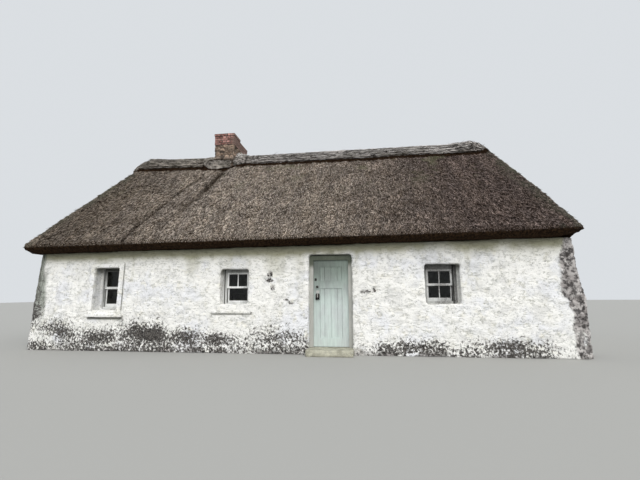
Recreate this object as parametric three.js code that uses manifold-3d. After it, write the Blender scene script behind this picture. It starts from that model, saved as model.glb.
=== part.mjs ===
// A thatched cottage with limewashed rubble walls, one front door and a chimney through the ridge.
// Millimetres. X runs along the front, Y into the house, Z up. The front faces -Y.
// The origin is on the ground, in the middle of the plan.
import * as THREE from "three";
import { mergeVertices } from "three/addons/utils/BufferGeometryUtils.js";
import Module from "manifold-3d";

const wasm = await Module();
wasm.setup();

// Seat gap between pieces that touch, how far a cutter reaches past what it cuts,
// and a distance beyond the whole house.
const GAP = 0.3;
const PAST = 400;
const FAR = 9000;

// Walls: the outer face leans in as it rises, and the right end bulges near its foot.
const WALL_TOP = 2462;
const WALL_TOP_RISE = 0.0105;
const WALL_FOOT_Y = 2700;
const WALL_HEAD_Y = 2635;
const WALL_INNER_Y = 2100;
const WALL_INNER_X = 5880;
const WALL_CORNER_RADIUS = 160;
const WALL_LEVELS = [
  { z: 0, left: 6510, right: 6570, y: WALL_FOOT_Y },
  { z: 1250, left: 6470, right: 6558, y: 2662 },
  { z: 1800, left: 6440, right: 6465, y: 2650 },
  { z: WALL_TOP, left: 6410, right: 6430, y: WALL_HEAD_Y },
];
const FLOOR_TOP = 130;

// Front doorway and its joinery.
const DOOR_X = 1150;
const LEAF = { width: 838, height: 1981, thickness: 44, foot: 150 };
const LEAF_BACK_Y = -2457;
const LEAF_GAP = 6;
const LEAF_FREE_GAP = 8;
const DOOR_HEAD = 88;
const DOOR_STOP = { lap: 12, depth: 38 };
const DOORWAY = { left: 648, right: 1646, head: 2250, splay: 100 };
const HINGE = { radius: 8, pin: 4, bore: 4.6, knuckle: 44, lug: 18, plate: 3.7, offset: 10, play: 2 };
const HINGE_STRAP = 330;
const HINGE_PLATE = { from: 12, to: 62 };
const HINGE_LUG = { from: -6, to: 14, depth: 6 };
const HINGE_HEIGHTS = { lower: 380, upper: 1800 };
const STEP = { left: 620, right: 1662, front: -2985, joint: -2720, back: -2300, top: 140 };

// Door hardware, each set in from the leaf's free edge.
const KNOB = { inset: 102, z: 1500, sides: 16 };
const KNOB_PROFILE = [
  [0, 0],
  [26, 0],
  [26, 6],
  [11, 10],
  [11, 30],
  [25, 42],
  [27, 54],
  [18, 64],
  [0, 67],
];
const LATCH = { inset: 62, half: 24, depth: 14, foot: 1640, head: 1700 };
const HANDLE = { inset: 108, half: 22, depth: 4, foot: 1225, head: 1420 };
const HANDLE_POST = { half: 9, depth: 48, height: 16, feet: [1240, 1330] };
const HANDLE_GRIP = { half: 11, from: 46, to: 60, foot: 1234, head: 1352 };

// Sash windows: the opening in the wall's face, and the frame that stands behind it.
// A recess counts from the wall's face at the height of the windows.
const WINDOW_FACE_Y = -2650;
const SPLAY_END = WALL_INNER_Y - 50;
const FRAME_DEPTH = 110;
const SASH = { thickness: 36, stile: 38, setback: 18, between: 4 };
const GLASS_THICKNESS = 4;
const WINDOW_SPLAY = 90;
const FRONT_WINDOWS = [
  {
    name: "left_window",
    face: { left: -4770, right: -4110, foot: 930, head: 2005 },
    frame: { left: -4742, right: -4138, foot: 985, head: 1992 },
    recess: 270,
    jamb: 46,
    top: 24,
    sill: 50,
    bottomRail: 70,
    meetingTop: 1534,
    meetingRail: 50,
  },
  {
    name: "middle_window",
    face: { left: -1485, right: -795, foot: 1110, head: 1930 },
    frame: { left: -1492, right: -752, foot: 1095, head: 1942 },
    recess: 200,
    jamb: 98,
    top: 80,
    sill: 42,
    bottomRail: 44,
    meetingTop: 1522,
    meetingRail: 38,
  },
  {
    name: "right_window",
    face: { left: 3262, right: 4010, foot: 1110, head: 1985 },
    frame: { left: 3228, right: 3976, foot: 1095, head: 1988 },
    recess: 200,
    jamb: 90,
    top: 106,
    sill: 68,
    bottomRail: 72,
    meetingTop: 1556,
    meetingRail: 44,
  },
];
// The back is plain: two windows like the middle one, seen from behind as if the house were turned.
const BACK_WINDOWS = [
  { name: "back_right_window", shift: -2560 },
  { name: "back_left_window", shift: 4640 },
];
const SILL = { left: -4845, right: -3930, front: -2765, foot: 803, head: 875 };
const SILL_TONGUE = { front: -2690, rise: 34 };
const SILL_RISER = { front: -2705, back: -2667, foot: 830 };
const LEDGE = { left: -1650, right: -705, front: -2712, foot: 893, head: 950 };
const SURROUND = { band: 118, head: 96, proud: 16, footGap: 40 };

// Thatch: a thick coat with steep ends, cut square at the eaves.
const EAVE = { left: 6570, right: 6470, y: 3030, z: 2610, radius: 170, rise: 0.01 };
const EAVE_INNER_RADIUS = 90;
const END_INSET = { left: 0.38, right: 0.07 };
const RIDGE = { left: 5260, right: 5530, y: 70, z: 5715 };
const COAT_LEVELS = [
  { share: 0.165, bulge: 18 },
  { share: 0.33, bulge: 30 },
  { share: 0.5, bulge: 33 },
  { share: 0.66, bulge: 34 },
  { share: 0.8, bulge: 24 },
  { share: 0.9, bulge: 14 },
];
// Long shallow hollows and swells of the coat, counted over each long side and each end.
const WAVE = { height: 32, long: 15, short: 5 };
const EAVE_LEVELS = [
  { inset: 372, drop: 0, onWall: true },
  { inset: 215, drop: 160, onWall: false },
  { inset: 50, drop: 84, onWall: false },
  { inset: 0, drop: 24, onWall: false },
  { inset: 24, drop: -42, onWall: false },
];
const LOFT = { left: 6010, right: 5990, y: 2450, radius: 120 };
const LOFT_RIDGE = { left: 4850, right: 5080, y: 40, radius: 35, z: 5200 };

// Ridge roll, and the collar of thatch round the chimney.
const ROLL_SECTION = [
  [-404, -395],
  [-372, -318],
  [-250, -150],
  [-120, -34],
  [0, 0],
];
const ROLL_DEPTH = 640;
const RIGHT_ROLL = [
  { x: -1752, top: 5805, scale: 1, depth: ROLL_DEPTH },
  { x: 1200, top: 5812, scale: 1, depth: ROLL_DEPTH },
  { x: 4500, top: 5828, scale: 1, depth: ROLL_DEPTH },
  { x: 5160, top: 5905, scale: 1, depth: ROLL_DEPTH },
  { x: 5430, top: 5800, scale: 0.88, depth: 700 },
  { x: 5660, top: 5635, scale: 0.54, depth: 800 },
];
const LEFT_ROLL = [
  { x: -5660, top: 5630, scale: 0.66, depth: 1000 },
  { x: -5420, top: 5770, scale: 0.92, depth: 900 },
  { x: -5070, top: 5880, scale: 1, depth: ROLL_DEPTH },
  { x: -4170, top: 5812, scale: 1, depth: ROLL_DEPTH },
  { x: -3152, top: 5812, scale: 1, depth: ROLL_DEPTH },
];
const ROLL_SKIRT_Y = -430;
const COLLAR_STATIONS = [
  { x: -3150, scale: 0.6 },
  { x: -2860, scale: 0.93 },
  { x: -2640, scale: 1 },
  { x: -2200, scale: 0.9 },
  { x: -1990, scale: 0.74 },
  { x: -1754, scale: 0.6 },
];
const COLLAR_TOP = 5850;
const COLLAR_SECTION = [
  [-560, -1000],
  [-592, -640],
  [-600, -500],
  [-570, -370],
  [-500, -262],
  [0, 0],
  [500, -210],
  [840, -580],
  [1010, -900],
  [1050, -1250],
];

// Chimney: a breast with a hearth facing the door's room, a stone stack and a brick head whose top
// course is lost at its right back corner.
const STACK = { left: -2725, right: -2095, front: -500, back: 750, foot: 4600, head: 6040 };
const BRICK = { top: 6412, course: 82, oversail: 12, lostFrom: 40 };
const BREAST = { left: -2900, right: -1950, front: -950, back: 1350, shoulder: 2600, neck: 4000 };
const HEARTH = { left: -2600, front: -500, back: 900, head: 1350 };
const GATHER = { right: -2130, front: -250, back: 650, top: 2400 };
const FLUE = { left: -2550, right: -2270, front: 20, back: 380 };

// Roof couples: pairs of rafters with a collar tie, standing on the wall heads.
const COUPLE_X = [-4800, -3350, -900, 1300, 3400];
const COUPLE = { thickness: 70, depth: 130, tieFoot: 3600, tieHead: 3720, reach: 60 };

const PAINT = {
  limewash: { color: 0xe4e5df, roughness: 0.93, metalness: 0 },
  thatch: { color: 0x6b5d54, roughness: 0.96, metalness: 0 },
  ridge: { color: 0x70706a, roughness: 0.96, metalness: 0 },
  sash: { color: 0xc9ccc8, roughness: 0.6, metalness: 0 },
  door: { color: 0xb2beb6, roughness: 0.55, metalness: 0 },
  frame: { color: 0x7f8c80, roughness: 0.6, metalness: 0 },
  glass: { color: 0x20241f, roughness: 0.08, metalness: 0 },
  iron: { color: 0x24231f, roughness: 0.5, metalness: 0.8 },
  stone: { color: 0x8a8174, roughness: 0.9, metalness: 0 },
  brick: { color: 0x8d5546, roughness: 0.9, metalness: 0 },
  timber: { color: 0x5b4a39, roughness: 0.85, metalness: 0 },
  floor: { color: 0x77736b, roughness: 0.8, metalness: 0 },
};

const cottage = new THREE.Group();

// Solids and geometry

function solidOf(geometry) {
  geometry.deleteAttribute("normal");
  geometry.deleteAttribute("uv");
  const merged = mergeVertices(geometry, 1e-3);
  const vertProperties = merged.attributes.position.array;
  const triVerts = new Uint32Array(merged.index.array);
  return new wasm.Manifold(new wasm.Mesh({ numProp: 3, vertProperties, triVerts }));
}

function geometryOf(solid) {
  const mesh = solid.getMesh();
  const geometry = new THREE.BufferGeometry();
  geometry.setAttribute("position", new THREE.BufferAttribute(mesh.vertProperties, 3));
  geometry.setIndex(new THREE.BufferAttribute(mesh.triVerts, 1));
  geometry.computeVertexNormals();
  return geometry;
}

function add(name, solid, paint, parent = cottage) {
  const mesh = new THREE.Mesh(geometryOf(solid), new THREE.MeshStandardMaterial(PAINT[paint]));
  mesh.name = name;
  parent.add(mesh);
}

function box(x0, x1, y0, y1, z0, z1) {
  const geometry = new THREE.BoxGeometry(x1 - x0, y1 - y0, z1 - z0);
  return solidOf(geometry.translate((x0 + x1) / 2, (y0 + y1) / 2, (z0 + z1) / 2));
}

function extruded(points, depth, holes = []) {
  const shape = new THREE.Shape(points.map(([u, v]) => new THREE.Vector2(u, v)));
  for (const hole of holes) {
    shape.holes.push(new THREE.Path(hole.map(([u, v]) => new THREE.Vector2(u, v))));
  }
  return new THREE.ExtrudeGeometry(shape, { depth, bevelEnabled: false });
}

// A prism along X whose section is a list of [y, z] points.
function prismX(points, x0, x1, holes = []) {
  const turn = new THREE.Matrix4().set(0, 0, 1, x0, 1, 0, 0, 0, 0, 1, 0, 0, 0, 0, 0, 1);
  return solidOf(extruded(points, x1 - x0, holes).applyMatrix4(turn));
}

function cylinder(radius, sides, x, y, z0, z1) {
  const geometry = new THREE.CylinderGeometry(radius, radius, z1 - z0, sides);
  return solidOf(geometry.rotateX(Math.PI / 2).translate(x, y, (z0 + z1) / 2));
}

// A closed skin over a pile of rings, each with the same number of points, listed from the lowest.
function loft(rings) {
  const count = rings[0].length;
  const positions = rings.flat().flatMap((p) => [p.x, p.y, p.z]);
  const index = [];
  for (let k = 0; k + 1 < rings.length; k++) {
    for (let i = 0; i < count; i++) {
      const j = (i + 1) % count;
      const [a, b, c, d] = [k * count + i, k * count + j, (k + 1) * count + j, (k + 1) * count + i];
      index.push(a, b, c, a, c, d);
    }
  }
  const last = (rings.length - 1) * count;
  for (let i = 1; i + 1 < count; i++) {
    index.push(0, i + 1, i);
    index.push(last, last + i, last + i + 1);
  }
  const geometry = new THREE.BufferGeometry();
  geometry.setAttribute("position", new THREE.Float32BufferAttribute(positions, 3));
  geometry.setIndex(index);
  return geometry;
}

function rectangle(x0, x1, y0, y1, z) {
  const corners = [
    [x0, y0],
    [x1, y0],
    [x1, y1],
    [x0, y1],
  ];
  return corners.map(([x, y]) => new THREE.Vector3(x, y, z));
}

// A rectangle with round corners whose height may vary along X. Its sides may be cut into steps,
// and each point may be pushed straight out by a distance.
function roundRing(x0, x1, halfDepth, radius, heightAt, sideSteps = [1, 1], pushAt = () => 0) {
  const steps = 4;
  const centres = [
    [x1 - radius, halfDepth - radius],
    [x0 + radius, halfDepth - radius],
    [x0 + radius, radius - halfDepth],
    [x1 - radius, radius - halfDepth],
  ];
  const plan = [];
  centres.forEach(([cx, cy], quarter) => {
    for (let i = 0; i <= steps; i++) {
      const angle = (quarter + i / steps) * (Math.PI / 2);
      plan.push({ x: cx + radius * Math.cos(angle), y: cy + radius * Math.sin(angle), angle });
    }
    const from = plan[plan.length - 1];
    const [nextX, nextY] = centres[(quarter + 1) % 4];
    const to = { x: nextX + radius * Math.cos(from.angle), y: nextY + radius * Math.sin(from.angle) };
    const count = sideSteps[quarter % 2];
    for (let i = 1; i < count; i++) {
      const share = i / count;
      const x = from.x + (to.x - from.x) * share;
      plan.push({ x, y: from.y + (to.y - from.y) * share, angle: from.angle });
    }
  });
  return plan.map(({ x, y, angle }) => {
    const push = pushAt(x, y, heightAt(x));
    return new THREE.Vector3(x + push * Math.cos(angle), y + push * Math.sin(angle), heightAt(x));
  });
}

function wallTop(x) {
  return WALL_TOP + WALL_TOP_RISE * x;
}

// Walls

// The outer form of all four walls, grown by a distance, with a top that follows the wall heads.
function wallBody(grow) {
  const rings = WALL_LEVELS.map(({ z, left, right, y }) => {
    const heightAt = z === WALL_TOP ? wallTop : () => z;
    return roundRing(-left - grow, right + grow, y + grow, WALL_CORNER_RADIUS + grow, heightAt);
  });
  return solidOf(loft(rings));
}

// Everything that a window takes out of the wall: the opening, the frame's seat and the inner splay.
function windowVoid({ face, frame, recess }) {
  const front = WINDOW_FACE_Y + recess;
  const back = front + FRAME_DEPTH + 2 * GAP;
  const outer = box(face.left, face.right, -WALL_FOOT_Y - PAST, front + 1, face.foot, face.head);
  const seat = box(frame.left, frame.right, front, back, frame.foot, frame.head);
  const inner = (grow, w) =>
    rectangle(frame.left - grow, frame.right + grow, frame.foot - grow / 2, frame.head + grow / 2, w);
  const splay = loft([inner(WINDOW_SPLAY, SPLAY_END), inner(0, -back + 1)]);
  return outer.add(seat).add(solidOf(splay.rotateX(Math.PI / 2)));
}

function doorVoid() {
  const { left, right, head, splay } = DOORWAY;
  const front = box(left, right, -WALL_FOOT_Y - PAST, LEAF_BACK_Y + 1, -PAST, head);
  const inner = (grow, w) => rectangle(left - grow, right + grow, -PAST, head, w);
  const back = loft([inner(splay, SPLAY_END), inner(0, -LEAF_BACK_Y)]);
  return front.add(solidOf(back.rotateX(Math.PI / 2)));
}

function turnedRound(solid) {
  return solidOf(geometryOf(solid).rotateZ(Math.PI));
}

function backWindow({ shift }) {
  const like = FRONT_WINDOWS[1];
  const moved = ({ left, right, ...rest }) => ({ left: left + shift, right: right + shift, ...rest });
  return { ...like, face: moved(like.face), frame: moved(like.frame) };
}

function addWalls() {
  const room = box(-WALL_INNER_X, WALL_INNER_X, -WALL_INNER_Y, WALL_INNER_Y, -PAST, FAR);
  let ring = wallBody(0).subtract(room);
  for (const window of FRONT_WINDOWS) ring = ring.subtract(windowVoid(window));
  for (const window of BACK_WINDOWS) ring = ring.subtract(turnedRound(windowVoid(backWindow(window))));
  const front = ring.intersect(box(-FAR, FAR, -FAR, -WALL_INNER_Y, -PAST, FAR)).subtract(doorVoid());
  const { left, right, head } = DOORWAY;
  add("front_wall_left", front.intersect(box(-FAR, left, -FAR, 0, -PAST, FAR)), "limewash");
  add("front_wall_right", front.intersect(box(right, FAR, -FAR, 0, -PAST, FAR)), "limewash");
  const between = box(left + GAP, right - GAP, -FAR, 0, head - 1, FAR);
  add("front_wall_over_door", front.intersect(between), "limewash");
  add("back_wall", ring.intersect(box(-FAR, FAR, WALL_INNER_Y, FAR, -PAST, FAR)), "limewash");
  const side = WALL_INNER_Y - GAP;
  add("left_end_wall", ring.intersect(box(-FAR, 0, -side, side, -PAST, FAR)), "limewash");
  add("right_end_wall", ring.intersect(box(0, FAR, -side, side, -PAST, FAR)), "limewash");
}

function addFloor() {
  const x = WALL_INNER_X - GAP;
  const y = WALL_INNER_Y - GAP;
  add("floor", box(-x, x, -y, y, 0, FLOOR_TOP), "floor");
}

// Windows

function ringFrame(outer, inner, y0, y1) {
  const whole = box(outer.left, outer.right, y0, y1, outer.foot, outer.head);
  return whole.subtract(box(inner.left, inner.right, y0 - PAST, y1 + PAST, inner.foot, inner.head));
}

function shrunk({ left, right, foot, head }, sides, below, above) {
  return { left: left + sides, right: right - sides, foot: foot + below, head: head - above };
}

function addSash(name, outer, rails, y, parent) {
  const inner = shrunk(outer, SASH.stile, rails.below, rails.above);
  add(name + "_sash", ringFrame(outer, inner, y, y + SASH.thickness), "sash", parent);
  const pane = shrunk(inner, GAP, GAP, GAP);
  const middle = y + SASH.thickness / 2;
  const glass = box(pane.left, pane.right, middle, middle + GLASS_THICKNESS, pane.foot, pane.head);
  add(name + "_glass", glass, "glass", parent);
}

function windowFrame({ frame, recess, jamb, sill, top }) {
  const front = WINDOW_FACE_Y + recess + GAP;
  const outer = shrunk(frame, GAP, GAP, GAP);
  const inner = shrunk(frame, jamb, sill, top);
  return { front, inner, solid: ringFrame(outer, inner, front, front + FRAME_DEPTH) };
}

function addSashWindow(window) {
  const { front, inner, solid } = windowFrame(window);
  add(window.name + "_frame", solid, "sash");
  const light = shrunk(inner, GAP, GAP, GAP);
  const outerY = front + SASH.setback;
  const innerY = outerY + SASH.thickness + SASH.between;
  const { meetingTop, meetingRail, bottomRail } = window;
  const upper = { ...light, foot: meetingTop - meetingRail };
  const lower = { ...light, head: meetingTop };
  addSash(window.name + "_upper", upper, { below: meetingRail, above: SASH.stile }, outerY, cottage);
  addSash(window.name + "_lower", lower, { below: bottomRail, above: meetingRail }, innerY, cottage);
}

function addBackWindow(window, parent) {
  const like = backWindow(window);
  const { front, inner, solid } = windowFrame(like);
  add(window.name + "_frame", solid, "sash", parent);
  const light = shrunk(inner, GAP, GAP, GAP);
  const rails = { below: like.bottomRail, above: SASH.stile };
  addSash(window.name, light, rails, front + SASH.setback, parent);
}

function addWindows() {
  FRONT_WINDOWS.forEach(addSashWindow);
  const turned = new THREE.Group();
  turned.rotation.z = Math.PI;
  cottage.add(turned);
  for (const window of BACK_WINDOWS) addBackWindow(window, turned);
}

// A band that stands proud of the wall's face by a distance.
function proudBand(region, proud) {
  return wallBody(proud).subtract(wallBody(GAP)).intersect(region);
}

// The left window's sill: a nose outside, a riser above it and a tongue that runs back to the frame.
function addSill({ face, recess }) {
  const left = face.left + GAP;
  const right = face.right - GAP;
  const top = face.foot + SILL_TONGUE.rise;
  const back = WINDOW_FACE_Y + recess - GAP;
  const nose = box(SILL.left, SILL.right, SILL.front, -WALL_INNER_Y, SILL.foot, SILL.head);
  const tongue = box(left, right, SILL_TONGUE.front, back, face.foot + GAP, top);
  const riser = box(left, right, SILL_RISER.front, SILL_RISER.back, SILL_RISER.foot, top);
  const outside = nose.add(riser).subtract(wallBody(GAP));
  add("left_window_sill", outside.add(tongue), "limewash");
}

// The raised plaster round the left window, clear of the sill's tongue at its foot.
function addSurround({ face }) {
  const through = (x0, x1, z0, z1) => box(x0, x1, -FAR, -WALL_INNER_Y, z0, z1);
  const { band, head, proud, footGap } = SURROUND;
  const plate = through(face.left - band, face.right + band, SILL.head + GAP, face.head + head);
  const hole = through(face.left, face.right, 0, face.head);
  const clear = through(face.left - GAP, face.right + GAP, 0, face.foot + footGap);
  add("left_window_surround", proudBand(plate.subtract(hole).subtract(clear), proud), "limewash");
}

function addLedge() {
  const ledge = box(LEDGE.left, LEDGE.right, LEDGE.front, -WALL_INNER_Y, LEDGE.foot, LEDGE.head);
  add("middle_window_ledge", ledge.subtract(wallBody(GAP)), "limewash");
}

// Door

function doorEdges() {
  const left = DOOR_X - LEAF.width / 2;
  const right = DOOR_X + LEAF.width / 2;
  return { left, right, foot: LEAF.foot, head: LEAF.foot + LEAF.height };
}

function archFrame(left, right, head, inner, y0, y1) {
  const whole = box(left, right, y0, y1, STEP.top + GAP, head);
  return whole.subtract(box(inner.left, inner.right, y0 - PAST, y1 + PAST, -PAST, inner.head));
}

function addDoorFrame() {
  const leaf = doorEdges();
  const rebate = {
    left: leaf.left - LEAF_FREE_GAP,
    right: leaf.right + LEAF_GAP,
    head: leaf.head + LEAF_GAP,
  };
  const stop = {
    left: leaf.left + DOOR_STOP.lap,
    right: leaf.right - DOOR_STOP.lap,
    head: leaf.head - DOOR_STOP.lap,
  };
  const left = DOORWAY.left + GAP;
  const right = DOORWAY.right - GAP;
  const head = leaf.head + LEAF_GAP + DOOR_HEAD;
  const stopBack = LEAF_BACK_Y - LEAF.thickness - LEAF_GAP;
  const stopFrame = archFrame(left, right, head, stop, stopBack - DOOR_STOP.depth, stopBack);
  const rebateFrame = archFrame(left, right, head, rebate, stopBack, LEAF_BACK_Y);
  add("door_frame", stopFrame.add(rebateFrame), "frame");
}

function addKnob(edge, face) {
  const lathe = new THREE.LatheGeometry(KNOB_PROFILE.map(([r, h]) => new THREE.Vector2(r, h)), KNOB.sides);
  add("door_knob", solidOf(lathe.rotateX(Math.PI).translate(edge + KNOB.inset, face, KNOB.z)), "iron");
}

function addHandle(edge, face) {
  const x = edge + HANDLE.inset;
  const proud = (half, from, to, foot, head) => box(x - half, x + half, face - to, face - from, foot, head);
  const { half, depth, height, feet } = HANDLE_POST;
  let handle = proud(HANDLE.half, 0, HANDLE.depth, HANDLE.foot, HANDLE.head);
  for (const foot of feet) handle = handle.add(proud(half, 1, depth, foot, foot + height));
  const grip = HANDLE_GRIP;
  handle = handle.add(proud(grip.half, grip.from, grip.to, grip.foot, grip.head));
  add("door_handle", handle, "iron");
}

function addDoorLeaf() {
  const { left, right, foot, head } = doorEdges();
  const front = LEAF_BACK_Y - LEAF.thickness;
  add("door_leaf", box(left, right, front, LEAF_BACK_Y, foot, head), "door");
  const face = front - GAP;
  addKnob(left, face);
  addHandle(left, face);
  const x = left + LATCH.inset;
  const latch = box(x - LATCH.half, x + LATCH.half, face - LATCH.depth, face, LATCH.foot, LATCH.head);
  add("door_latch", latch, "iron");
}

// A strap on the leaf turns on a pin that two lugs hold on the frame.
function addHinge(level, z) {
  const { radius, bore, knuckle, lug, plate, play } = HINGE;
  const x = doorEdges().right + LEAF_GAP / 2;
  const y = LEAF_BACK_Y + HINGE.offset;
  const seat = LEAF_BACK_Y + GAP;
  const z1 = z + lug + play;
  const z2 = z1 + knuckle;
  const z3 = z2 + play + lug;
  const strap = box(x - HINGE_STRAP, x - bore, seat, seat + plate, z1, z2);
  const hole = cylinder(bore, 16, x, y, z1 - PAST, z2 + PAST);
  add("door_hinge_" + level, cylinder(radius, 16, x, y, z1, z2).add(strap).subtract(hole), "iron");
  let fixed = box(x + HINGE_PLATE.from, x + HINGE_PLATE.to, seat, seat + plate, z, z3);
  const { from, to, depth } = HINGE_LUG;
  for (const foot of [z, z2 + play]) {
    fixed = fixed.add(box(x + from, x + to, seat + 1, y + depth, foot, foot + lug));
  }
  add("frame_hinge_" + level, fixed.add(cylinder(HINGE.pin, 12, x, y, z + 1, z3 - 1)), "iron");
}

function addDoor() {
  addDoorFrame();
  addDoorLeaf();
  for (const [level, z] of Object.entries(HINGE_HEIGHTS)) addHinge(level, z);
  const wide = box(STEP.left, STEP.right, STEP.front, -WALL_FOOT_Y - GAP, 0, STEP.top);
  const inside = box(DOORWAY.left + GAP, DOORWAY.right - GAP, STEP.joint, STEP.back, 0, STEP.top);
  add("doorstep", wide.add(inside), "stone");
}

// Thatch

function wave(x, y, z) {
  const broad = Math.sin(0.0023 * x + 0.0011 * z + 0.4);
  return (WAVE.height / 2) * (broad + Math.sin(0.0013 * x - 0.0021 * z + 0.0008 * y + 2));
}

function coatRing(left, right, y, radius, z, share, grow) {
  const rise = EAVE.rise * (1 - share);
  const heightAt = (x) => z + grow + rise * x;
  const swell = Math.sin(Math.PI * share);
  const pushAt = (px, py, pz) => swell * wave(px, py, pz);
  return roundRing(-left - grow, right + grow, y + grow, radius, heightAt, [WAVE.long, WAVE.short], pushAt);
}

// The outer form of the whole coat, from its seat on the walls to the ridge.
function coatBody(grow) {
  const rings = [];
  for (const { inset, drop, onWall } of EAVE_LEVELS) {
    const left = EAVE.left - inset * END_INSET.left;
    const right = EAVE.right - inset * END_INSET.right;
    const y = EAVE.y - inset;
    const radius = Math.max(EAVE.radius - inset, EAVE_INNER_RADIUS);
    const sides = [-left - grow, right + grow, y + grow, radius];
    const seat = () => roundRing(...sides, (x) => wallTop(x) + GAP, [WAVE.long, WAVE.short]);
    rings.push(onWall ? seat() : coatRing(left, right, y, radius, EAVE.z - drop, 0, grow));
  }
  const mix = (a, b, share) => a + (b - a) * share;
  for (const { share, bulge } of [...COAT_LEVELS, { share: 1, bulge: 0 }]) {
    const left = mix(EAVE.left, RIDGE.left, share) + bulge;
    const right = mix(EAVE.right, RIDGE.right, share) + bulge;
    const y = mix(EAVE.y, RIDGE.y, share) + bulge;
    const radius = mix(EAVE.radius, RIDGE.y - 5, share);
    rings.push(coatRing(left, right, y, radius, mix(EAVE.z, RIDGE.z, share), share, grow));
  }
  return solidOf(loft(rings));
}

// The open space under the coat, down past the wall heads, drawn in by a distance.
function loftSpace(inset) {
  const ring = ({ left, right, y, radius }, heightAt) =>
    roundRing(inset - left, right - inset, y - inset, radius, heightAt);
  const peak = ring(LOFT_RIDGE, () => LOFT_RIDGE.z - inset);
  return solidOf(loft([ring(LOFT, () => WALL_TOP - PAST), ring(LOFT, (x) => wallTop(x) + GAP), peak]));
}

// All that lies beyond the plane through three points, on the long side's part of the roof.
function beyondHip(signX, signY, grow) {
  const reach = (shape) => signX * (signX > 0 ? shape.right : shape.left);
  const at = (shape, z) => new THREE.Vector3(reach(shape), signY * shape.y, z);
  const eave = at(EAVE, EAVE.z);
  const along = at(RIDGE, RIDGE.z).sub(eave).normalize();
  const normal = along.clone().cross(at(LOFT, WALL_TOP).sub(eave)).normalize();
  if (normal.y * signY < 0) normal.negate();
  const size = 2 * FAR;
  const turn = new THREE.Matrix4().makeBasis(along, normal.clone().cross(along), normal);
  turn.setPosition(eave.addScaledVector(normal, size / 2 - grow));
  return solidOf(new THREE.BoxGeometry(size, size, size).applyMatrix4(turn));
}

function longSide(signY, grow) {
  const start = GAP / 2 - grow;
  const half = signY > 0 ? box(-FAR, FAR, start, FAR, 0, FAR) : box(-FAR, FAR, -FAR, -start, 0, FAR);
  return half.intersect(beyondHip(1, signY, grow)).intersect(beyondHip(-1, signY, grow));
}

function stackVoid(clear) {
  const { left, right, front, back, foot } = STACK;
  return box(left - clear, right + clear, front - clear, back + clear, foot - PAST, FAR);
}

function addThatch() {
  const coat = coatBody(0).subtract(loftSpace(0)).subtract(stackVoid(GAP));
  add("thatch_front", coat.intersect(longSide(-1, 0)), "thatch");
  add("thatch_back", coat.intersect(longSide(1, 0)), "thatch");
  const ends = coat.subtract(longSide(-1, GAP)).subtract(longSide(1, GAP));
  add("thatch_left_end", ends.intersect(box(-FAR, 0, -FAR, FAR, 0, FAR)), "thatch");
  add("thatch_right_end", ends.intersect(box(0, FAR, -FAR, FAR, 0, FAR)), "thatch");
}

function rollSection({ x, top, scale, depth }) {
  const outline = [[ROLL_SKIRT_Y, -depth / scale], ...ROLL_SECTION];
  const left = outline.map(([y, z]) => new THREE.Vector3(x, y * scale, top + z * scale));
  const right = left.slice(0, -1).reverse().map((p) => new THREE.Vector3(x, -p.y, p.z));
  return [...left, ...right].reverse();
}

function addRoll(name, stations) {
  const solid = solidOf(loft(stations.map(rollSection)));
  add(name, solid.subtract(coatBody(GAP)), "ridge");
}

function addRidge() {
  addRoll("ridge_roll_left", LEFT_ROLL);
  addRoll("ridge_roll_right", RIGHT_ROLL);
  const ring = ({ x, scale }) =>
    COLLAR_SECTION.map(([y, z]) => new THREE.Vector3(x, y * scale, COLLAR_TOP + z * scale)).reverse();
  const mound = solidOf(loft(COLLAR_STATIONS.map(ring)));
  add("chimney_collar", mound.subtract(coatBody(GAP)).subtract(stackVoid(GAP)), "ridge");
}

// Chimney

function flueVoid() {
  return box(FLUE.left, FLUE.right, FLUE.front, FLUE.back, HEARTH.head, FAR);
}

function addChimney() {
  const { left, right, front, back, foot, head } = STACK;
  const base = (z) => rectangle(BREAST.left, BREAST.right, BREAST.front, BREAST.back, z);
  const neck = (z) => rectangle(left, right, front, back, z);
  const body = loft([base(FLOOR_TOP + GAP), base(BREAST.shoulder), neck(BREAST.neck), neck(foot - GAP)]);
  const hearth = box(HEARTH.left, 0, HEARTH.front, HEARTH.back, 0, HEARTH.head);
  const gather = loft([
    rectangle(HEARTH.left, GATHER.right, GATHER.front, GATHER.back, HEARTH.head - 1),
    rectangle(FLUE.left, FLUE.right, FLUE.front, FLUE.back, GATHER.top),
  ]);
  const flue = flueVoid();
  const breast = solidOf(body).subtract(hearth).subtract(solidOf(gather)).subtract(flue);
  add("chimney_breast", breast, "limewash");
  add("chimney_stack", box(left, right, front, back, foot, head).subtract(flue), "stone");
  const courses = box(left, right, front, back, head + GAP, BRICK.top);
  const { course, oversail: out, top } = BRICK;
  const cap = box(left - out, right + out, front - out, back + out, top - course, top);
  const lost = box((left + right) / 2, FAR, BRICK.lostFrom, FAR, top - course, FAR);
  add("chimney_brick_head", courses.add(cap).subtract(lost).subtract(flue), "brick");
}

// Roof timbers

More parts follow.
